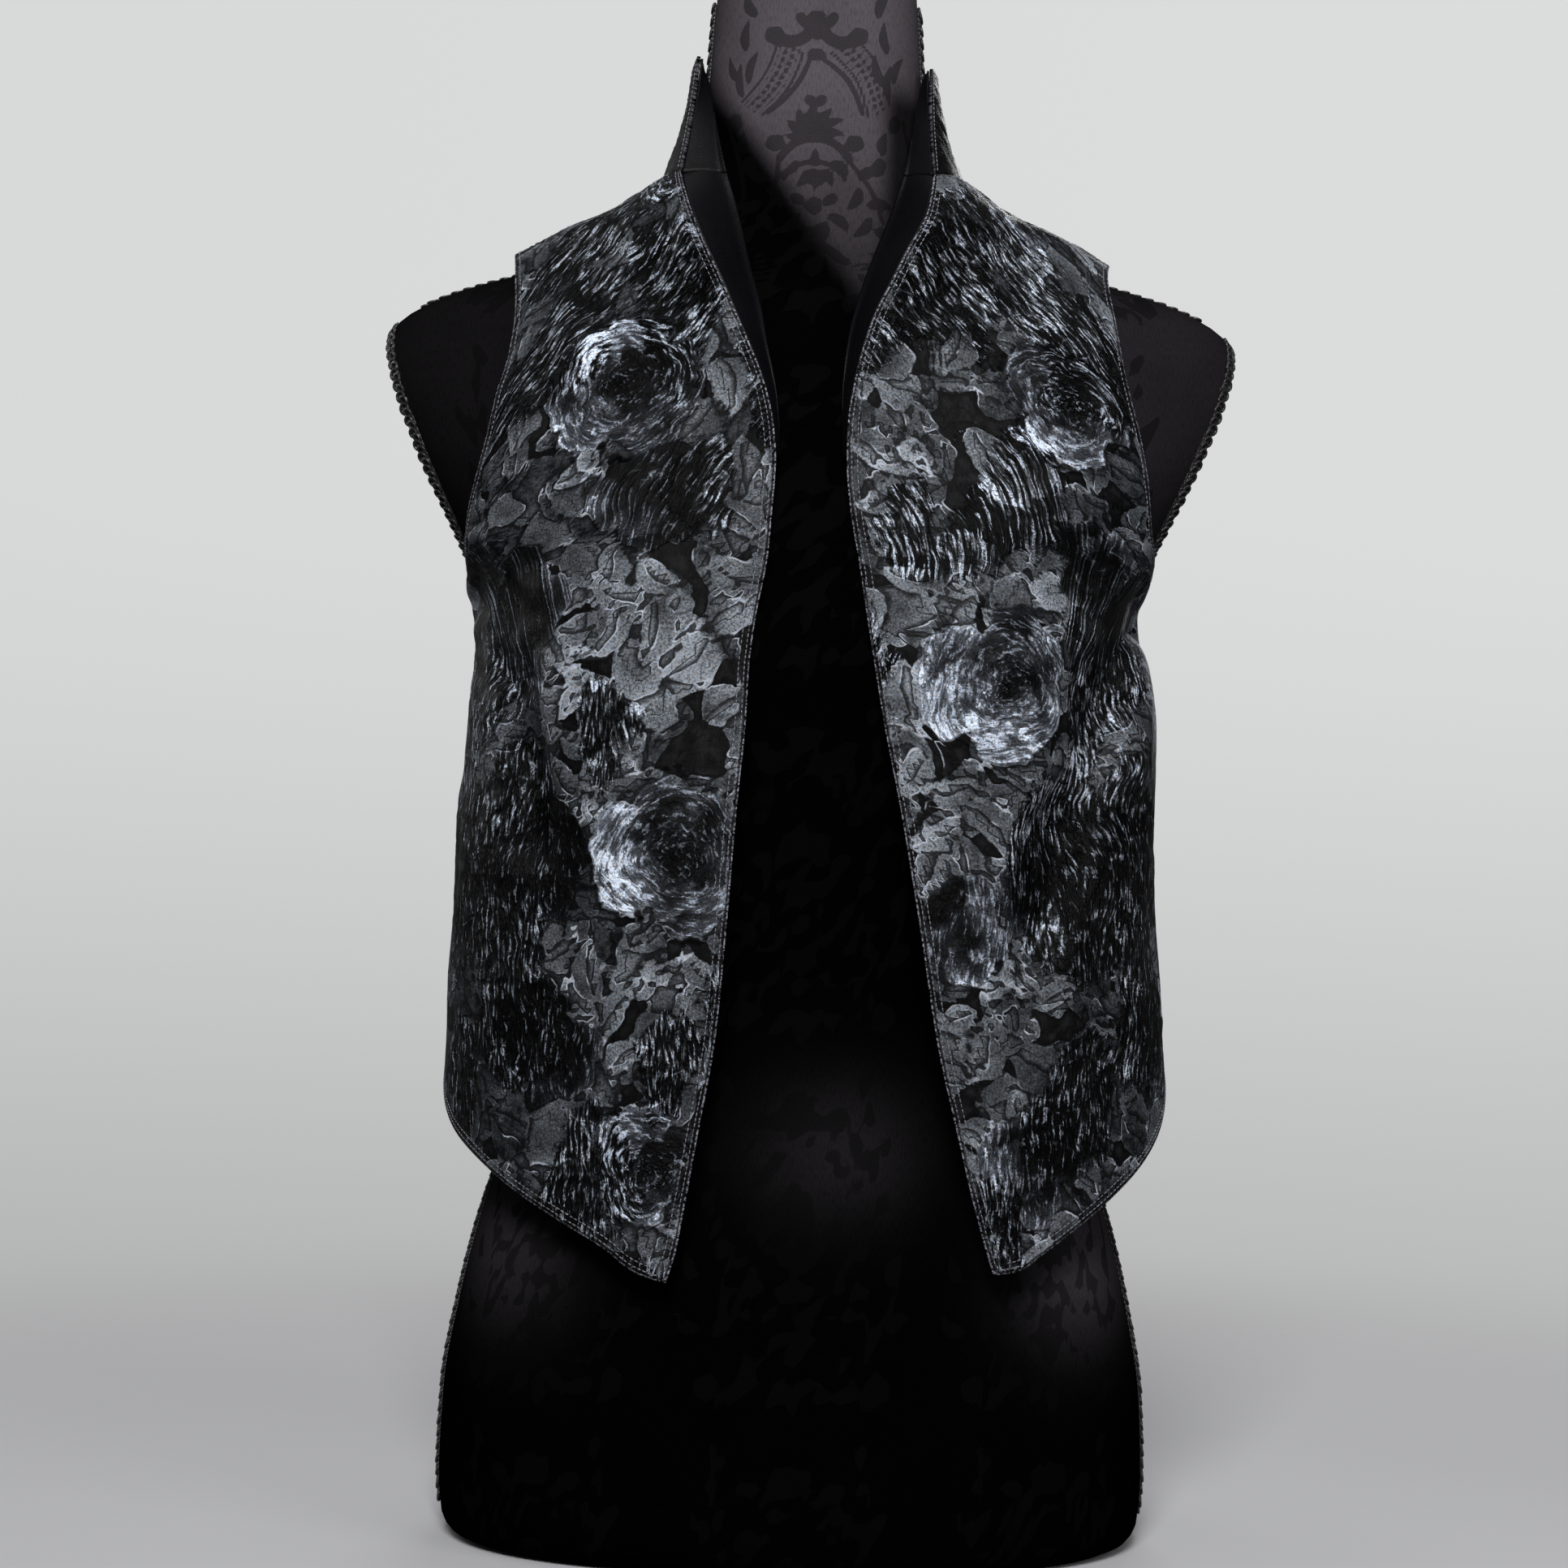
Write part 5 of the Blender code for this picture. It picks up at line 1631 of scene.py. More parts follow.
        # Painted shadow beside the outlines
        cloth = self.mixed(self.shade * 0.85, cloth, PAINTED_SHADOW_BESIDE_LINE)
        cloth = self.mixed(self.blooming, cloth, self.bloom_colour())
        return self.mixed((self.line * 0.9).held(), cloth, DRAWN_LINE)

    def crinkles(self, cloth):
        """Painted shade in the crinkles' hollows and painted highlights on their broken crests, on the satin
        and round the blooms.
        """
        painted_hollow_shade = (self.streak + 0.10 * (self.glow - 0.4)).rise(0.46, 0.57, 1.0, 0.0)
        deep = (0.97 * self.crinkled + 0.6 * self.blooming).held()
        cloth = self.mixed((painted_hollow_shade * deep).held(), cloth, CRINKLE_PAINTED_SHADE)
        painted_crest_highlight = self.streak + 0.10 * (self.glow - 0.3) + 0.12 * (self.ragged - 0.5)
        painted_crest_highlight = painted_crest_highlight.rise(0.57, 0.62) * self.grain.rise(0.40, 0.56)
        bright = painted_crest_highlight * self.folded * (0.22 + 1.0 * self.glow)
        return self.mixed(bright.held(), cloth, CRINKLE_PAINTED_HIGHLIGHT)

    def edges(self, colour, black, glint):
        """Painted shade along the seams, dark rims, a share of plain black over all, and painted glints on
        the very edge.
        """
        # Painted shade along the seams
        colour = self.mixed((self.painted_seam_shade * 0.5).held(), colour, SEAM_PAINTED_SHADE)
        colour = self.mixed(self.rim.rise(1.1, 1.7, 0.85, 0.0), colour, RIM_DARK)
        if black > 0.0:
            colour = self.mixed(black, colour, PLAIN_BLACK)
        # Painted highlight: a broken bright line on the very edge
        painted_glint = self.rim.rise(0.35, 0.95, 1.0, 0.0) * self.noise(self.cloth, 1.5, 2.0, 0.6).rise(0.42, 0.60)
        return self.mixed((painted_glint * glint).held(), colour, RIM_PAINTED_GLINT)

    def relief(self):
        """The weave, the threads, the raised figures and the crinkles, laid over one another."""
        normal = self.bumped(self.twill(self.cloth, 0.42), 0.00003)
        normal = self.bumped(self.grain * 0.6 + self.threads * 0.6, 0.0005, normal)
        raised = self.drawn * 0.5 - self.shade * 0.4 + self.line * 0.3 + self.flake * 0.3 * self.blooming
        normal = self.bumped(raised, 0.0003, normal)
        return self.bumped(self.streak * (0.22 + self.folded), 0.0019, normal)


def jacquard_look(name, black, glint):
    """The waistcoat's cloth, with a share of plain black over it and the strength of its edge's painted
    glints.
    """
    look = Jacquard(name)
    colour = look.crinkles(look.drawing())
    tint = look.mixed(look.noise(look.cloth, 1.6, 1.0).rise(0.4, 0.6), THREAD_COOL, THREAD_WARM)
    colour = look.mixed(0.2, colour, tint, "MULTIPLY")
    colour = look.edges(colour, black, glint)
    colour = look.node("ShaderNodeGamma", (), {"Color": colour, "Gamma": DEEPENED}).outputs["Color"]
    rough = (0.52 - 0.06 * look.drawn - 0.12 * look.folded).held()
    return look.finish(colour, rough, look.relief(), 0.05)


# Darkest and lightest colour of each plain cloth, thread or floor, with that of its bright grains
LINING = ((0.0006, 0.0006, 0.0009), (0.0025, 0.0025, 0.003), (0.016, 0.016, 0.019))
CAP = ((0.003, 0.003, 0.0032), (0.009, 0.0085, 0.009), (0.02, 0.019, 0.02))
BRAID = ((0.004, 0.004, 0.0045), (0.011, 0.011, 0.012), (0.05, 0.048, 0.05))
THREAD = ((0.012, 0.012, 0.014), (0.17, 0.17, 0.195))
FLOOR = ((0.30, 0.30, 0.31), (0.33, 0.33, 0.34))

# The form's damask: sateen and figure in painted shade, the same two in painted light, and its clouds
COVER_GROUND = (0.0005, 0.0005, 0.0005)
COVER_GAP = (0.0, 0.0, 0.0)
COVER_PAINTED_LIGHT = (0.053, 0.047, 0.053)
COVER_FIGURE = (0.0012, 0.0011, 0.0012)
COVER_FIGURE_PAINTED_LIGHT = (0.020, 0.018, 0.020)
COVER_CLOUD = (0.7, 0.7, 0.72)


def lining_look():
    """The plain dark side of the cloth, and the facings: a close satin with a faint twill."""
    look = Look("facing")
    uv = look.uv()
    dark, light, bright = LINING
    grain = look.noise(uv, 0.6, 2.0, 0.6)
    cloud = look.noise(uv, 26.0)
    colour = look.mixed(cloud, dark, light)
    colour = look.mixed(grain.rise(0.45, 0.8) * 0.25, colour, bright)
    normal = look.bumped(look.twill(uv, 0.55), 0.00003)
    normal = look.bumped(grain, 0.0002, normal)
    return look.finish(colour, 0.40 + 0.12 * (grain - 0.5), normal, 0.07)


def cover_look(name):
    """The dress form's damask: a drawn figure on a sateen ground, both with painted light and shade mixed
    into their colour.
    """
    look = Look(name)
    uv = look.uv()
    figure = look.field("print")[0]
    tone, _, painted_light = look.field("hand")
    fray = look.noise(uv, 0.9, 2.0, 0.6) - 0.5
    drawn = (figure + 0.5 * fray).rise(-0.1, 0.2)
    grain = look.noise(uv, 0.7, 2.0, 0.65)
    threads = look.noise(look.uv(200.0), 0.7, 2.0, 0.6)
    # Painted light: the cover's colours run from painted shade to painted light by the share painted into the
    # third number of hand
    ground = look.mixed(painted_light, COVER_GROUND, COVER_PAINTED_LIGHT)
    ground = look.mixed((threads.rise(0.4, 0.8) * 0.4).held(), ground, COVER_GAP)
    motif = look.mixed(painted_light, COVER_FIGURE, COVER_FIGURE_PAINTED_LIGHT)
    motif = look.mixed((tone * grain.rise(0.4, 0.75) * painted_light * 0.35).held(), motif, COVER_PAINTED_LIGHT)
    colour = look.mixed(drawn, ground, motif)
    clouded = look.mixed(1.0, colour, COVER_CLOUD, "MULTIPLY")
    colour = look.mixed((0.5 * look.noise(uv, 30.0).rise(0.4, 0.8)).held(), colour, clouded)
    normal = look.bumped(look.twill(uv, 0.5), 0.00002)
    normal = look.bumped(grain * 0.5 + threads * 0.5 + drawn * 0.4, 0.00022, normal)
    return look.finish(colour, 0.46 - 0.14 * drawn + 0.12 * (grain - 0.5), normal, 0.0)


def cap_look():
    """The smooth black cloth on the neck's cap."""
    look = Look("form_cap")
    where = look.place()
    dark, light, bright = CAP
    grain = look.noise(where, 0.7, 2.0, 0.65)
    colour = look.mixed(look.noise(where, 14.0), dark, light)
    colour = look.mixed(grain.rise(0.45, 0.8) * 0.3, colour, bright)
    return look.finish(colour, 0.5 + 0.1 * (grain - 0.5), look.bumped(grain, 0.0002), 0.05)


def braid_look():
    """Black rayon braid with a soft lustre on the twisted cords."""
    look = Look("gimp_braid")
    where = look.place()
    dark, light, bright = BRAID
    grain = look.noise(where, 0.5, 2.0, 0.6)
    colour = look.mixed(look.noise(where, 9.0), dark, light)
    colour = look.mixed(grain.rise(0.5, 0.85) * 0.5, colour, bright)
    normal = look.bumped(grain * 0.5 + look.twill(where, 1.1, 0.6), 0.0002)
    return look.finish(colour, 0.38 + 0.2 * (grain - 0.5), normal, 0.35)


def thread_look():
    """Black sewing thread, a little brighter than the cloth where the light grazes it."""
    look = Look("topstitch_thread")
    where = look.place()
    dark, light = THREAD
    grain = look.noise(where, 0.35, 2.0, 0.6)
    colour = look.mixed(grain.rise(0.35, 0.65), dark, light)
    normal = look.bumped(look.twill(where, 0.5, 0.4), 0.00008)
    return look.finish(colour, 0.34 + 0.2 * (grain - 0.5), normal, 0.4)


def floor_look():
    """A plain pale floor whose far edge fades away."""
    look = Look("pale_floor")
    where = look.node("ShaderNodeTexCoord").outputs["Object"]
    length = look.node("ShaderNodeVectorMath", {"operation": "LENGTH"}, {0: where})
    away = Shade(look.tree, length.outputs["Value"])
    dark, light = FLOOR
    colour = look.mixed(look.noise(where, 0.5), dark, light)
    plug(look.tree, away.rise(0.25, 1.15, 1.0, 0.0), look.shader.inputs["Alpha"])
    return look.finish(colour, 0.9, None, 0.1)


# Drawing of the form's damask, mirrored about the middle: kind, place, length, turn and half width
COVER_PRINT = (
    ("leaf", 0, 681, 16, 90, 3.0),
    ("leaf", 1, 681, 15, 60, 2.8),
    ("leaf", 1, 681, 15, 30, 2.8),
    ("leaf", 2, 680, 13, 3, 2.4),
    ("petal", 2.5, 697, 3.2, 40, 2.6),
    ("petal", 19, 677, 4.2, 90, 4.6),
    ("arch", 0, 660, 19, 90, 2.0),
    ("arch", 0, 651, 17, 90, 1.2),
    ("petal", 0, 670, 4.4, 90, 2.2),
    ("leaf", 3, 664, 10, 305, 2.6),
    ("leaf", 0, 664, 11, 270, 2.6),
    ("leaf", 8, 668, 11, 322, 2.4),
    ("petal", 0, 647, 4.4, 90, 4.4),
    ("petal", 8, 650, 3.8, 30, 2.8),
    ("leaf", 2, 640, 13, 290, 3.0),
    ("leaf", 7, 643, 14, 318, 2.8),
    ("trellis", 12, 724, 36, 303, 4.9),
    ("band", 3, 717, 32, 308, 1.3),
    ("arch", 0, 741, 9, 270, 2.6),
    ("arch", 12, 736, 11, 235, 3.0),
    ("petal", 20, 728, 5.6, 20, 4.4),
    ("petal", 0, 719, 4.6, 0, 2.8),
    ("petal", 0, 729, 3.4, 90, 3.0),
    ("leaf", 34, 706, 16, 110, 2.8),
    ("leaf", 37, 700, 17, 84, 2.8),
    ("leaf", 40, 708, 16, 60, 2.6),
    ("leaf", 36, 722, 15, 96, 3.0),
    ("leaf", 30, 738, 15, 60, 3.2),
    ("petal", 40, 688, 5, 60, 3.6),
    ("band", 17, 668, 44, 293, 1.2),
    ("leaf", 21, 660, 13, 20, 3.0),
    ("leaf", 22, 656, 13, 240, 3.0),
    ("leaf", 25, 648, 13, 350, 3.0),
    ("leaf", 27, 642, 13, 230, 3.0),
    ("leaf", 29, 636, 14, 320, 3.0),
    ("petal", 31, 666, 5, 70, 3.6),
    ("leaf", 33, 672, 12, 80, 2.8),
    ("arch", 0, 612, 16, 90, 2.4),
    ("petal", 0, 618, 5, 0, 5),
    ("leaf", 0, 606, 18, 270, 4.0),
    ("leaf", 4, 608, 18, 310, 3.6),
    ("band", 46, 690, 70, 262, 1.3),
    ("leaf", 44, 650, 18, 70, 3.6),
    ("leaf", 43, 628, 18, 40, 3.6),
    ("petal", 40, 604, 6, 0, 6),
    ("leaf", 30, 600, 18, 160, 3.6),
    ("trellis", 22, 622, 30, 300, 4.9),
)

# How far the damask runs before it repeats, its brightness, its place and how much its outlines waver
COVER_WIDE = 124.0
COVER_TALL = 170.0
COVER_TONE = 0.7
COVER_DROP = 6.5
COVER_DRIFT = 0.2

# Level at the middle of the neck below which the cover is painted in shade, and how the edge of that painted
# shadow slants
NECK_LIT = 632.0
NECK_SLANT = 1.44


def cover_print(u, v):
    """The damask of the form: palmettes with leaves, ribbons and scallops, mirrored about the middle."""
    drawn = Print(u, v + COVER_DROP, COVER_WIDE, COVER_TALL, COVER_DRIFT)
    draw = {
        "leaf": drawn.bare_leaf,
        "band": drawn.band,
        "arch": drawn.arch,
        "trellis": drawn.trellis,
        "petal": drawn.petal,
    }
    for kind, x, z, long, turn, wide in COVER_PRINT:
        draw[kind](x, z, long, wide, turn, COVER_TONE)
        if x != 0:
            draw[kind](-x, z, long, wide, 180 - turn, COVER_TONE)
    return drawn


def ring_angles(z):
    """Angles of one ring: close ones along the front and the back, and few over the arm plate."""
    front = plate_angle(z, False)
    back = 180 - plate_angle(z, True)
    half = []
    for low, high, count in ((0, front, 64), (front, 90, 10), (90, back, 10)):
        half += list(np.linspace(low, high, count + 1)[:-1])
    half += list(np.linspace(back, 180, 41))
    return np.array(half + [360 - a for a in reversed(half[1:-1])])


# Steps between the form's rings, close ones from this level up, where the neck shows
RING_STEP = 6.0
NECK_STEP = 1.3
NECK_FROM = 600


def ring_levels():
    """The form table's levels, with others between them that don't crowd them."""
    known = set(form_levels())
    places = list(np.arange(RING_STEP, NECK_FROM, RING_STEP)) + list(np.arange(NECK_FROM, 749, NECK_STEP))
    extra = [z for z in places if min(abs(z - k) for k in known) > (2.4 if z < NECK_FROM else 0.5)]
    return sorted(known | set(extra))


def closed_rings(rings, low, high):
    """Rings stacked upward, drawn in to a small hole at either end, and the faces between them."""
    count = len(rings[0])
    every = [low + (rings[0] - low) * share for share in (0.02, 0.4, 0.8, 0.97)] + list(rings)
    every += [high + (rings[-1] - high) * share for share in (0.96, 0.6, 0.25, 0.02)]
    here = np.arange(count)
    after = np.roll(here, -1)
    ring = np.stack([here, after, after + count, here + count], axis=1)
    faces = np.concatenate([ring + r * count for r in range(len(every) - 1)])
    return np.array(every), faces


def fan_closed(name, stack, faces):
    """The mesh of stacked rings with a face over the small hole at either end."""
    count = stack.shape[1]
    last = (len(stack) - 1) * count
    every = faces.tolist()
    every.append(list(range(count))[::-1])
    every.append([last + i for i in range(count)])
    mesh = plain_mesh(name, stack.reshape(-1, 3), every)
    mesh.shade_smooth()
    return mesh


def spot(away, across, up, tall):
    """A soft round patch: 1 in its middle and 0 far from it."""
    return np.exp(-((away / across) ** 2) - (up / tall) ** 2)


def painted_light_share(x, y, v):
    """Painted light and shade on the form's cover, from 0 in painted shade to 1 in painted light: the shadow
    that the waistcoat and collar cast, painted over the neck and chest, and a painted sheen on the arm
    plates, the hips and the belly.
    """
    front = y < 0
    neck = np.where(front, soft_step(v - (NECK_LIT - NECK_SLANT * x), 26), soft_step(v - 690, 40))
    beside = soft_step(x - 33, 14) * soft_step(700 - v, 22) * front
    neck = neck * (1 - 0.9 * beside) * np.where(front, 0.30 + 0.70 * soft_step(v - 655, 110), 1.0)
    arm = soft_step(np.abs(x) - 128, 26) * soft_step(v - 470, 40) * soft_step(610 - v, 40)
    hip = np.where(x > 0, 0.46, 0.26) * spot(np.abs(x) - 138, 30, v - 148, 36)
    belly = 0.13 * spot(x - 20, 40, v - 196, 32) * front
    return np.maximum(neck, np.maximum(arm * np.where(x > 0, 0.17, 0.07), hip + belly))


def cover(name, rings, low, high, material):
    """A closed piece of the form with its damask, measured round from the middle of the front."""
    stack, faces = closed_rings(rings, low, high)
    mesh = fan_closed(name, stack, faces)
    around = np.linalg.norm(np.diff(np.concatenate([stack, stack[:, :1]], axis=1), axis=1), axis=2)
    u = np.concatenate([np.zeros((len(stack), 1)), np.cumsum(around, axis=1)[:, :-1]], axis=1)
    total = around.sum(axis=1, keepdims=True)
    u = np.where(u > total / 2, u - total, u)
    x, y, v = (stack[:, :, i] for i in range(3))
    drawn = cover_print(u, v)
    # The third number of hand is the cover's painted light share
    hand = np.stack([drawn.tone, np.zeros_like(u), painted_light_share(x, y, v)], axis=2)
    lay_uv(mesh, np.stack([u, v], axis=2).reshape(-1, 2) * MM)
    lay_field(mesh, "print", np.stack([drawn.figure, drawn.edge, drawn.near], axis=2).reshape(-1, 3))
    lay_field(mesh, "hand", hand.reshape(-1, 3))
    mesh.materials.append(material)
    return placed(name, mesh)


# Each panel: half for its creases, rows and columns finer, row whose levels are exact, and free edges
PANELS = {
    "front_left": ("front", ROWS_FINER, COLUMNS_FINER, UPPER_ROWS, ("first", "hem", "last")),
    "back_side_left": ("back", ROWS_FINER, COLUMNS_FINER, UPPER_ROWS, ("hem", "last")),
    "front_right": ("front", ROWS_FINER, COLUMNS_FINER, UPPER_ROWS, ("first", "hem", "last")),
    "back_side_right": ("back", ROWS_FINER, COLUMNS_FINER, UPPER_ROWS, ("hem", "last")),
    "back_centre": ("back", ROWS_FINER, BACK_FINER, UPPER_ROWS, ("hem",)),
    "collar": (None, COLLAR_FINER, COLUMNS_FINER, 0, ("hem", "first", "last")),
}

# How far from the middle of the back the print starts on a side back
FLANK_START = 105

# Distance over which the cloth's relief dies out towards an edge, and half width of the painted shade along a
# seam
HELD_AT_EDGE = 9
SEAM_SHADE_WIDE = 1.6

# Distance that counts as far from every edge
FAR_FROM_EDGE = 50.0


def across_print(name, fine):
    """Places of a panel's points across the print, counted from the middle of the front or the back."""
    side = LEFT if name.endswith("left") else RIGHT
    if name == "collar":
        return -arc_from(fine, 1, fine.shape[1] // 2)
    if name == "back_centre":
        return BACK_MIDDLE + arc_from(fine, 1, fine.shape[1] // 2)
    if name.startswith("back_side"):
        return side * (FLANK_START + arc_from(fine, 1, 0)) + BACK_MIDDLE
    return side * (np.abs(fine[:, :1, 0]) + arc_from(fine, 1, 0))


def panel_depth(fine, half, u, v, drawn, to_edge):
    """How far the crinkles and the small creases move a panel outward."""
    hold = ease((to_edge - 1.0) / HELD_AT_EDGE)
    ribs, swell = crinkle(u, v, drawn)
    on_bloom = np.clip(drawn.bloom / 3 + 0.5, 0, 1)
    crinkled = np.maximum(np.maximum(on_bloom, drawn.zone), np.clip((v - 500) / 60, 0, 1))
    depth = hold * (0.34 * ribs * (0.30 + crinkled) + 0.55 * swell)
    if half is None:
        return depth
    for side in (LEFT, RIGHT):
        creases = crease_depth(side, half, np.abs(fine[:, :, 0]), fine[:, :, 2])
        depth = depth + np.where(fine[:, :, 0] * side > 0, creases * np.clip(to_edge / 7, 0, 1), 0)
    return depth


def refined_panel(name, grid, normals, look):
    """A cloth panel at full detail; returns it with its middle surface and the normals of that."""
    half, rows_finer, columns_finer, exact_row, free = PANELS[name]
    fine = finer(grid, rows_finer, columns_finer)
    outward = normals[grid.shape[0] // 2, grid.shape[1] // 2]
    u = across_print(name, fine)
    v = fine[exact_row * rows_finer, :, 2][None, :] - arc_from(fine, 0, exact_row * rows_finer)
    distances = edge_distances(fine)
    drawn = jacquard_print(u, v)
    depth = panel_depth(fine, half, u, v, drawn, nearest(distances.values()))
    shaped = settle(fine + normals_of(fine, outward) * depth[:, :, None], CLOTH / 2 + OVER_FORM - 0.4)
    final = normals_of(shaped, outward)
    seam = nearest(away for edge, away in distances.items() if edge not in free)
    rim = nearest(away for edge, away in distances.items() if edge in free)
    # Painted shade along the seams, darkest on the seam line
    painted_seam_shade = np.exp(-((seam / SEAM_SHADE_WIDE) ** 2))
    fields = {
        "print": np.stack([drawn.figure, drawn.edge, drawn.near], axis=2),
        "hand": np.stack([drawn.tone, drawn.vein, painted_seam_shade], axis=2),
        "rim": np.stack([rim, drawn.zone, drawn.bloom], axis=2),
        "swirl": drawn.swirl,
    }
    made = shell(name + "_cloth", shaped, final, CLOTH, np.stack([u, v], axis=2), fields)
    made.data.materials.append(look)
    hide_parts(name)
    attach(made, "root")
    return made, shaped, final


# Points in from an edge, among which a line of stitches is placed
EDGE_POINTS = 16


def length_along(points):
    """Distance of every point of a line from its start."""
    return np.concatenate([[0], np.cumsum(np.linalg.norm(np.diff(points, axis=0), axis=1))])


def read_along(at, known, values):
    """Places read between the points of a line."""
    return np.stack([np.interp(at, known, values[:, i]) for i in range(3)], axis=-1)


def line_inside(grid, normals, side, away, ends):
    """Points and normals along one side of a grid, this far in from it and this far from its ends."""
    if side not in ("first", "last"):
        grid, normals = grid.transpose(1, 0, 2), normals.transpose(1, 0, 2)
    if side in ("last", "hem"):
        grid, normals = grid[:, ::-1], normals[:, ::-1]
    points = []
    facing = []
    for row, up in zip(grid[:, :EDGE_POINTS], normals[:, :EDGE_POINTS]):
        far = length_along(row)
        points.append(read_along(away, far, row))
        facing.append(read_along(away, far, up))
    points = np.array(points)
    far = length_along(points)
    keep = (far >= ends[0]) & (far <= far[-1] - ends[1])
    return points[keep], unit_rows(np.array(facing)[keep])


def spaced(points, facing, step):
    """Even places along a line, with their directions and normals."""
    far = length_along(points)
    count = max(int(far[-1] / step), 1)
    at = (np.arange(count) + 0.5) * far[-1] / count
    place = read_along(at, far, points)
    along = np.gradient(place, axis=0) if count > 1 else np.array([points[-1] - points[0]])
    return place, unit_rows(along), unit_rows(read_along(at, far, facing))


def turns(along, up):
    """Turns that lay X along a line and Z along its normal, as Euler angles."""
    result = []
    for a, n in zip(along, up):
        x = Vector(a)
        y = Vector(n).cross(x).normalized()
        z = x.cross(y).normalized()
        result.append(tuple(Matrix((x, y, z)).transposed().to_euler()))
    return np.array(result)


def repeat_group(name, unit, material):
    """Geometry nodes that set a unit on every point, turned as the point says and a little uneven."""
    group = bpy.data.node_groups.new(name, "GeometryNodeTree")
    for socket, way, kind in (
        ("Geometry", "INPUT", "Geometry"),
        ("Unevenness", "INPUT", "Float"),
        ("Seed", "INPUT", "Int"),
        ("Geometry", "OUTPUT", "Geometry"),
    ):
        group.interface.new_socket(socket, in_out=way, socket_type="NodeSocket" + kind)
    start = group.nodes.new("NodeGroupInput").outputs
    uneven = start["Unevenness"]
    least = add_node(group, "ShaderNodeMath", {"operation": "SUBTRACT"}, {0: 1.0, 1: uneven}).outputs[0]
    most = add_node(group, "ShaderNodeMath", {"operation": "ADD"}, {0: 1.0, 1: uneven}).outputs[0]
    sizes_between = {2: least, 3: most, "Seed": start["Seed"]}
    size = add_node(group, "FunctionNodeRandomValue", {"data_type": "FLOAT"}, sizes_between).outputs[1]
    turn = add_node(group, "GeometryNodeInputNamedAttribute", {"data_type": "FLOAT_VECTOR"}, {"Name": "turn"})
    turn = next(out for out in turn.outputs if out.enabled and out.name == "Attribute")
    turn = add_node(group, "FunctionNodeEulerToRotation", (), {0: turn}).outputs[0]
    shape = add_node(group, "GeometryNodeObjectInfo", (), {"Object": unit}).outputs["Geometry"]
    sockets = {"Points": start["Geometry"], "Instance": shape, "Rotation": turn, "Scale": size}
    spread = add_node(group, "GeometryNodeInstanceOnPoints", (), sockets).outputs[0]
    real = add_node(group, "GeometryNodeRealizeInstances", (), {0: spread}).outputs[0]
    sockets = {"Geometry": real, "Material": material}
    paint = add_node(group, "GeometryNodeSetMaterial", (), sockets).outputs[0]
    add_node(group, "NodeGroupOutput", (), {0: paint})
    return group


def repeated(name, places, angles, unit, material, uneven, seed):
    """One mesh with a unit at every place."""
    mesh = bpy.data.meshes.new(name + "_places")
    mesh.vertices.add(len(places))
    mesh.vertices.foreach_set("co", (np.asarray(places, np.float32) * MM).ravel())
    lay_field(mesh, "turn", angles)
    holder = placed(name + "_places", mesh)
    modifier = holder.modifiers.new("repeat", "NODES")
    modifier.node_group = repeat_group(name + "_nodes", unit, material)
    values = {"Unevenness": uneven, "Seed": seed}
    for item in modifier.node_group.interface.items_tree:
        if item.name in values:
            modifier[item.identifier] = values[item.name]
    bpy.context.view_layer.update()
    graph = bpy.context.evaluated_depsgraph_get()
    source = holder.evaluated_get(graph)
    made = bpy.data.meshes.new_from_object(source, preserve_all_data_layers=True, depsgraph=graph)
    made.name = name
    bpy.data.objects.remove(holder, do_unlink=True)
    made.shade_smooth()
    return placed(name, made)


def ball(name, long, wide, high, around=6, along=4):
    """A small stitch: a ball drawn out along X."""
    points = []
    faces = []
    for i in range(1, along):
        phi = math.pi * i / along
        for j in range(around):
            a = 2 * math.pi * j / around
            out = math.sin(phi)
            place = (-math.cos(phi) * long, out * math.cos(a) * wide, out * math.sin(a) * high)
            points.append([share / 2 for share in place])
    points += [(-long / 2, 0, 0), (long / 2, 0, 0)]
    first = len(points) - 2
    low = (along - 2) * around
    for j in range(around):
        k = (j + 1) % around
        for i in range(along - 2):
            faces.append((i * around + j, i * around + k, (i + 1) * around + k, (i + 1) * around + j))
        faces.append((first, k, j))
        faces.append((first + 1, low + j, low + k))
    return placed(name, plain_mesh(name, points, [face[::-1] for face in faces]))


def tube_faces(rings, sides, closed):
    """Four-cornered faces of a tube of rings, and where it isn't closed a face at either end."""
    faces = []
    for i in range(rings if closed else rings - 1):
        k = (i + 1) % rings
        for j in range(sides):
            m = (j + 1) % sides
            faces.append((i * sides + j, k * sides + j, k * sides + m, i * sides + m))
    if not closed:
        faces.append(tuple(range(sides)))
        faces.append(tuple((rings - 1) * sides + j for j in range(sides))[::-1])
    return faces


def loop(name, wide, long, thick, lean, around=14, sides=6):
    """One scroll of the braid: a ring of cord, drawn out, leaning over its neighbour."""
    points = []
    for a in 2 * math.pi * np.arange(around) / around:
        centre = np.array([long / 2 * math.cos(a), wide / 2 * math.sin(a), lean * math.cos(a)])
        out = np.array([math.cos(a), math.sin(a), 0])
        for b in 2 * math.pi * np.arange(sides) / sides:
            points.append(centre + thick / 2 * (out * math.cos(b) + np.array([0, 0, 1]) * math.sin(b)))
    return placed(name, plain_mesh(name, points, tube_faces(around, sides, True)))


# Levels between which the braid runs along the shoulder and neck, and down the side
SHOULDER_BRAID = (594, 748)
SIDE_BRAID = (11, 446)


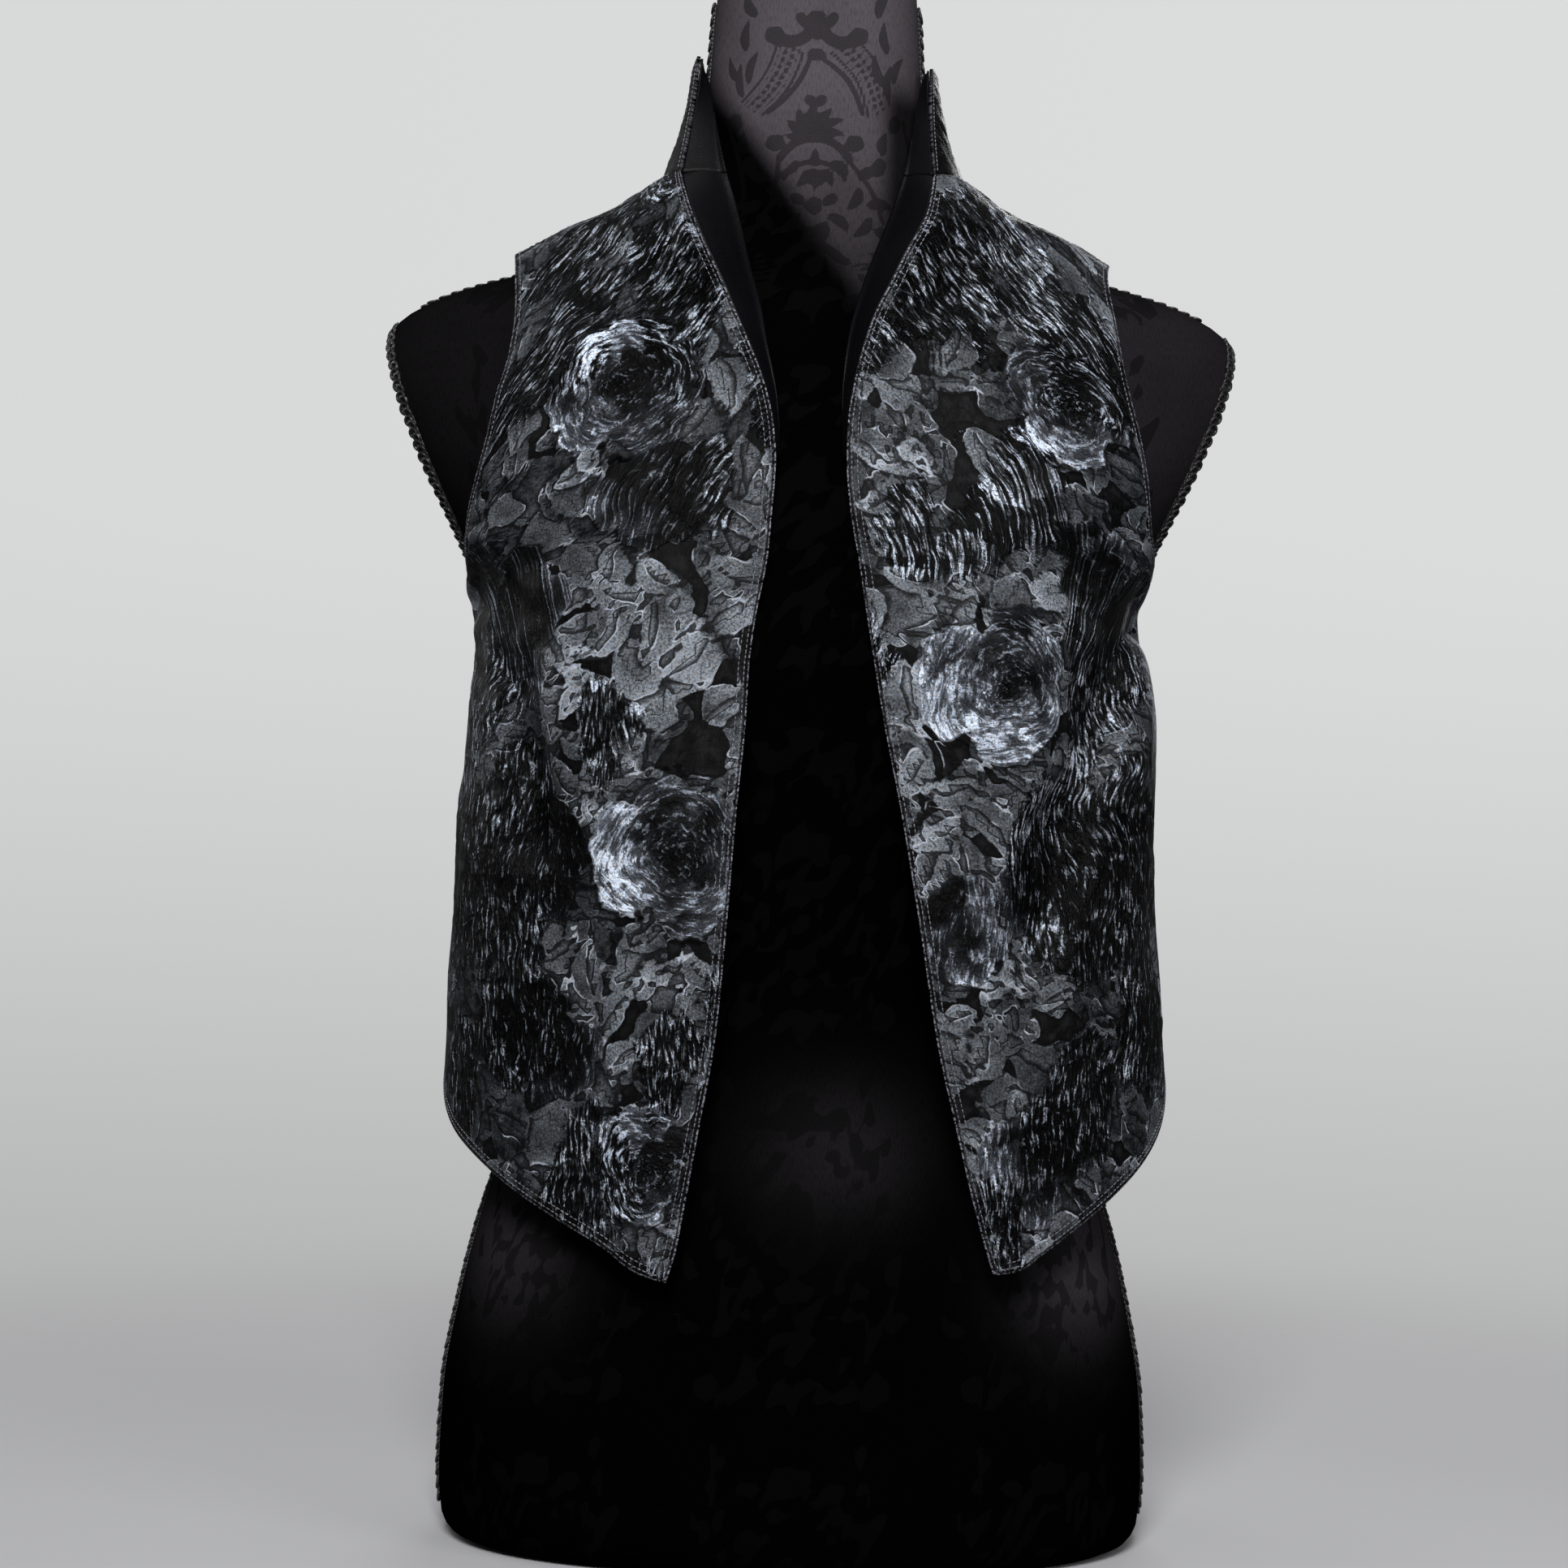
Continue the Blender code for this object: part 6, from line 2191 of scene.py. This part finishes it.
def gimp_line(name, side):
    """The line that a braid lies on, with its outward directions."""
    if "armhole" in name:
        line, out = [], []
        tall = PLATE_TALL - GIMP_WIDE / 2 - 0.5
        deep = PLATE_DEEP - GIMP_WIDE / 2 + 1
        for phi in np.radians(np.linspace(0, 360, 120, endpoint=False)):
            z = PLATE_MIDDLE + tall * math.cos(phi)
            slope = (plate_x(z + 1) - plate_x(z - 1)) / 2
            line.append((side * plate_x(z), deep * math.sin(phi), z))
            out.append(np.array([side, 0, -slope]) / math.hypot(1, slope))
        return np.array(line), np.array(out)
    low, high = SHOULDER_BRAID if "shoulder" in name else SIDE_BRAID
    line = np.array([form_point(side * 90, z) for z in np.arange(high, low, -2.0)])
    along = np.gradient(line, axis=0)
    tilt = -np.sign(along[:, 0] * side * along[:, 2]) * np.abs(along[:, 0])
    return line, unit_rows(np.stack([side * np.abs(along[:, 2]), np.zeros(len(line)), tilt], axis=1))


def tape(line, out, closed):
    """The flat woven strip that carries the scrolls: its points and faces."""
    along = np.gradient(line, axis=0)
    if closed:
        along = np.roll(line, -1, axis=0) - np.roll(line, 1, axis=0)
    across = unit_rows(np.cross(out, along)) * (GIMP_WIDE / 2 - 0.6)
    corners = [line + across * a + out * h for a, h in TAPE_CORNERS]
    points = np.stack(corners, axis=1).reshape(-1, 3)
    return points, tube_faces(len(line), len(corners), closed)


# How far the arm plate's braid leans and lies over the plate's rim
RIM_LEAN = 0.75
RIM_OUT = 1.6

# The strip's section: places across, from -1 to 1, and heights in millimetres
TAPE_CORNERS = ((-1, 0.03), (1, 0.03), (1, 0.9), (0.4, 1.15), (-0.4, 1.15), (-1, 0.9))

# Distance between scrolls, how far they lie to either side and how far they turn outward
SCROLL_STEP = 3.1
SCROLL_ASIDE = 0.75
SCROLL_SWING = 0.42


def joined_mesh(made, strip, material):
    """Adds the strip to the scrolls' mesh, all of one material and with its faces outward."""
    both = bmesh.new()
    both.from_mesh(made.data)
    both.from_mesh(strip)
    bmesh.ops.recalc_face_normals(both, faces=both.faces)
    both.to_mesh(made.data)
    both.free()
    made.data.materials.clear()
    made.data.materials.append(material)
    made.data.polygons.foreach_set("material_index", [0] * len(made.data.polygons))
    made.data.shade_smooth()


def gimp(name, side, unit, material):
    """A gimp braid: two rows of scrolls that lean on each other, along its line."""
    line, out = gimp_line(name, side)
    closed = "armhole" in name
    if closed:
        outward = unit_rows((line - [0, 0, PLATE_MIDDLE]) * [0, 1, 1])
        out = unit_rows(out + outward * RIM_LEAN)
        line = line + outward * RIM_OUT
    strip = plain_mesh(name + "_strip", *tape(line, out, closed))
    if closed:
        line = np.concatenate([line, line[:1]])
        out = np.concatenate([out, out[:1]])
    place, along, up = spaced(line, out, SCROLL_STEP)
    across = np.cross(up, along)
    weave = np.where(np.arange(len(place)) % 2 == 0, 1.0, -1.0)[:, None]
    places = place + up * (GIMP_GAP + GIMP_THICK * 0.40) + across * weave * SCROLL_ASIDE
    swing = unit_rows(along + across * weave * SCROLL_SWING)
    made = repeated(name + "_braid", places, turns(swing, up), unit, material, 0.08, 5)
    joined_mesh(made, strip, material)
    return made


# Edges of each panel that stop short of a seam, in the order in which they are drawn back
SEAM_EDGES = (
    ("front_left", ("top", "last")),
    ("front_right", ("top", "last")),
    ("back_side_left", ("top", "last", "first")),
    ("back_side_right", ("top", "last", "first")),
    ("back_centre", ("first", "last", "top")),
)


def neckline(grids):
    """The line that the collar stands on, from the left front's edge round to the right one's."""
    left = grids["front_left"][0, : NECK_COLUMNS + 1]
    right = grids["front_right"][0, : NECK_COLUMNS + 1]
    back = grids["back_centre"][0, SHOULDER_COLUMNS:-SHOULDER_COLUMNS]
    return np.concatenate([left[:-1], back, right[::-1][1:]])


def panel_grids():
    """The middle surfaces of the panels and their normals, before their edges are drawn back."""
    room = CLOTH / 2 + OVER_FORM
    grids = {}
    ahead = {"back_centre": (0, 1.0, 0), "collar": (0, 1.0, 0)}
    for side, name in SIDES:
        grids["front_" + name] = settle(front_grid(side), room)
        grids["back_side_" + name] = settle(side_back_grid(side), room)
        ahead["front_" + name] = (side * 0.3, -1, 0)
        ahead["back_side_" + name] = (side * 1.0, 1, 0)
    grids["back_centre"] = settle(back_grid(), room)
    line = neckline(grids)
    grids["collar"] = settle(collar_grid(line), room)
    grids["collar"][0] = line
    return grids, {name: normals_of(grid, np.array(ahead[name])) for name, grid in grids.items()}


def build_cloth(look, collar_look, lining, unit, thread):
    """Every panel, collar and facing of the waistcoat with its stitching."""
    grids, normals = panel_grids()
    inner = facing_grids(grids, normals)
    for name, edges in SEAM_EDGES:
        for edge in edges:
            drawn_back(grids[name], edge)
    drawn_back(grids["collar"], "top", SEAM * 1.2)
    panels = {}
    for name in PANELS:
        cloth = collar_look if name == "collar" else look
        panels[name] = refined_panel(name, grids[name], normals[name], cloth)
    for name, grid in inner.items():
        panels[name] = facing_piece(name, grid, lining)
    stitched(panels, unit, thread)
    return panels


def facing_grids(grids, normals):
    """The facings behind the upper front edges and the collar's ends."""
    made = {}
    for side, name in SIDES:
        front = grids["front_" + name]
        rows = [k for k in range(len(front)) if front[k, 0, 2] >= FACING_LOW]
        edge = front[rows, 0]
        up = unit_rows(normals["front_" + name][rows, 0])
        facing = facing_grid(side, edge, up, unit_rows(edge - front[rows, 1]), FACING)
        drawn_back(facing, "top", SEAM)
        made["front_facing_" + name] = facing
        collar = grids["collar"]
        end, beside = (0, 1) if side == LEFT else (-1, -2)
        edge = collar[:, end]
        up = unit_rows(normals["collar"][:, end])
        facing = facing_grid(side, edge, up, unit_rows(edge - collar[:, beside]), FACING)
        drawn_back(facing, "top", SEAM)
        drawn_back(facing, "hem", 1.0)
        made["collar_facing_" + name] = facing
    return made


def facing_piece(name, grid, look):
    """A facing at full detail: a smooth turn from behind the edge in to the form."""
    side = LEFT if name.endswith("left") else RIGHT
    fine = finer(grid, 4, 4)
    outward = np.array([-side * 1.0, -0.6, 0])
    distances = edge_distances(fine)
    u = distances["first"] + side * 40
    v = fine[:, :1, 2] + 0 * u
    swell = 0.3 * noise(u / 12, v / 17, 21) * np.clip(nearest(distances.values()) / 6, 0, 1)
    shaped = settle(fine + normals_of(fine, outward) * swell[:, :, None], FACING / 2 + OVER_FORM - 0.5)
    final = normals_of(shaped, outward)
    made = shell(name + "_cloth", shaped, final, FACING, np.stack([u, v], axis=2), {})
    made.data.materials.append(look)
    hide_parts(name)
    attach(made, "root")
    return made, shaped, final


# Lines of stitches: panel, edge, distance in from it and distances from its two ends
STITCH_LINES = (
    ("front", "first", 2.2, (2.0, 3.5)),
    ("front", "first", 4.9, (2.0, 6.5)),
    ("front", "hem", 2.2, (3.0, 1.5)),
    ("front", "hem", 4.9, (6.0, 1.5)),
    ("front", "last", 2.6, (2.0, 0.0)),
    ("back_side", "hem", 3.0, (1.5, 1.5)),
    ("back_side", "last", 2.6, (2.0, 0.0)),
    ("back_centre", "hem", 3.0, (1.5, 1.5)),
    ("collar", "hem", 2.2, (2.5, 2.5)),
    ("collar", "hem", 4.7, (5.0, 5.0)),
    ("collar", "first", 2.2, (1.5, 2.5)),
    ("collar", "last", 2.2, (1.5, 2.5)),
)
STITCH_STEP = 2.5


def stitched(panels, unit, material):
    """Topstitching along the free edges, one mesh for each panel."""
    for name in ("front_left", "front_right", "back_side_left", "back_side_right", "back_centre", "collar"):
        _, shaped, normals = panels[name]
        places = []
        angles = []
        for panel, edge, away, ends in STITCH_LINES:
            if panel != name.removesuffix("_left").removesuffix("_right"):
                continue
            points, facing = line_inside(shaped, normals, edge, away, ends)
            if edge == "last" and name != "collar":
                keep = points[:, 2] > UNDERARM[LEFT if "left" in name else RIGHT] + 2
                points, facing = points[keep], facing[keep]
            place, along, up = spaced(points + facing * (CLOTH / 2 + 0.02), facing, STITCH_STEP)
            places.append(place)
            angles.append(turns(along, up))
        places = np.concatenate(places)
        made = repeated("topstitch_" + name, places, np.concatenate(angles), unit, material, 0.1, 11)
        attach(made, "root")


def studio_world():
    """A pale studio: the camera sees a light backdrop, brighter above, in a room of dim soft light."""
    world = bpy.data.worlds.new("studio")
    world.use_nodes = True
    tree = world.node_tree
    source = add_node(tree, "ShaderNodeTexCoord").outputs["Generated"]
    parts = add_node(tree, "ShaderNodeSeparateXYZ", (), {0: source}).outputs
    across = Shade(tree, parts[0])
    up = Shade(tree, parts[2])
    seen = up.rise(-0.30, 0.10, 0.36, 0.70) + across * 0.06
    room = up.rise(-0.4, 0.9, 0.06, 0.19)
    straight = Shade(tree, add_node(tree, "ShaderNodeLightPath").outputs["Is Camera Ray"])
    light = seen * straight + room * (1.0 - straight)
    tint = add_node(tree, "ShaderNodeCombineColor", (), {0: light, 1: light * 1.005, 2: light * 1.01})
    plug(tree, tint.outputs[0], tree.nodes["Background"].inputs["Color"])
    return world


# Lights: place and aim in metres, width in metres and watts
LIGHTS = {
    "key": ((-0.15, -2.35, 1.9), (0, 0, 0.42), 0.9, 128),
    "fill": ((1.8, -1.7, 1.2), (0, 0, 0.42), 1.2, 22),
    "top": ((0.2, 0.5, 2.6), (0, 0, 0.4), 1.2, 6),
    "back": ((0.3, 2.6, 1.1), (0, 0, 0.42), 1.4, 32),
    "back_fill": ((-2.0, 1.4, 1.3), (0, 0, 0.42), 1.4, 12),
}

# The floor's radius, its number of corners and its level, just under the base
FLOOR_RADIUS = 3.0
FLOOR_CORNERS = 64
FLOOR_LEVEL = -0.0006

# The camera's place in metres, its lean in degrees, and its lens and sensor in millimetres
CAMERA_PLACE = (-0.009, -1.65, 0.366)
CAMERA_LEAN = -1.08
CAMERA_LENS = 77.0
CAMERA_SENSOR = 36.0


def lights():
    """Soft studio light in a pale room."""
    bpy.context.scene.world = studio_world()
    bpy.context.scene.view_settings.view_transform = "Standard"
    for name, (place, aim, wide, watts) in LIGHTS.items():
        light = bpy.data.lights.new(name, "AREA")
        light.size = wide
        light.energy = watts
        made = bpy.data.objects.new(name, light)
        made.location = place
        made.rotation_euler = (Vector(aim) - Vector(place)).to_track_quat("-Z", "Y").to_euler()
        bpy.context.scene.collection.objects.link(made)


def floor():
    """A plain round floor."""
    around = [2 * math.pi * i / FLOOR_CORNERS for i in range(FLOOR_CORNERS)]
    ring = [(FLOOR_RADIUS * math.cos(a), FLOOR_RADIUS * math.sin(a), FLOOR_LEVEL) for a in around]
    mesh = bpy.data.meshes.new("floor")
    mesh.from_pydata(ring, [], [tuple(range(FLOOR_CORNERS))])
    mesh.materials.append(floor_look())
    placed("floor", mesh)


def camera():
    """The camera at the photograph's angle."""
    lens = bpy.data.cameras.new("camera")
    lens.lens = CAMERA_LENS
    lens.sensor_width = CAMERA_SENSOR
    lens.clip_start = 0.05
    lens.clip_end = 50.0
    made = bpy.data.objects.new("camera", lens)
    lean = Matrix.Rotation(math.radians(CAMERA_LEAN), 4, "Y")
    made.matrix_world = Matrix.Translation(CAMERA_PLACE) @ lean @ Matrix.Rotation(math.radians(90), 4, "X")
    bpy.context.scene.collection.objects.link(made)
    bpy.context.scene.camera = made


def build_form():
    """The covered form and the cap on its neck."""
    body = cover("form_body_cover", RINGS, BASE_MIDDLE, NECK_END, cover_look("form_cover"))
    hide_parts("form_body")
    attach(body, "root")
    rings = []
    for lift, share in CAP_RINGS:
        ring = NECK_END + (form_ring(NECK_TOP, ring_angles(NECK_TOP)) - NECK_END) * share
        ring[:, 2] = NECK_TOP + lift
        rings.append(ring)
    low = NECK_END + [0, 0, GIMP_GAP]
    cap = cover("form_neck_cover", rings, low, NECK_END + [0, 0, CAP_TALL], cap_look())
    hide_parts("form_neck_cap")
    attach(cap, "root")


def build_braid(unit, material):
    """The braid round the arm plates, along the shoulders and down the sides."""
    for name in ("gimp_armhole", "gimp_shoulder", "gimp_side"):
        for side, end in SIDES:
            made = gimp(name + "_" + end, side, unit, material)
            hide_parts(name + "_" + end)
            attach(made, "root")


# The neck's top and the middle of the base, and rings of the cap: height over the neck and share of its width
NECK_TOP = 750.0
NECK_END = np.array([0, -6.0, NECK_TOP])
BASE_MIDDLE = np.zeros(3)
CAP_TALL = 9.2
CAP_RINGS = (
    (GIMP_GAP, 0.985),
    (1.5, 1.0),
    (3.2, 1.0),
    (5.0, 0.965),
    (6.6, 0.90),
    (7.8, 0.78),
    (8.6, 0.60),
    (9.0, 0.38),
)

# Share of plain black over the collar's cloth, and the strength of the painted glints on each cloth's edge
COLLAR_BLACK = 0.94
PANEL_GLINT = 0.8
COLLAR_GLINT = 0.3

# The form as a surface that the cloth is held off
RINGS = [form_ring(z, ring_angles(z)) for z in ring_levels()]
seat_stack, seat_faces = closed_rings(RINGS, BASE_MIDDLE, NECK_END)
SEAT = BVHTree.FromPolygons([Vector(p) for p in seat_stack.reshape(-1, 3)], seat_faces.tolist())

build_form()
braid_unit = loop("braid_scroll", 5.2, 4.6, 1.5, 0.5)
build_braid(braid_unit, braid_look())

jacquard = jacquard_look("jacquard", 0.0, PANEL_GLINT)
collar_jacquard = jacquard_look("collar_jacquard", COLLAR_BLACK, COLLAR_GLINT)
lining = lining_look()
thread = thread_look()
stitch = ball("stitch", 2.1, 0.62, 0.6)
for piece, shaped, _ in build_cloth(jacquard, collar_jacquard, lining, stitch, thread).values():
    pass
for unit in (stitch, braid_unit):
    bpy.data.objects.remove(unit, do_unlink=True)

lights()
floor()
camera()
bpy.context.view_layer.update()
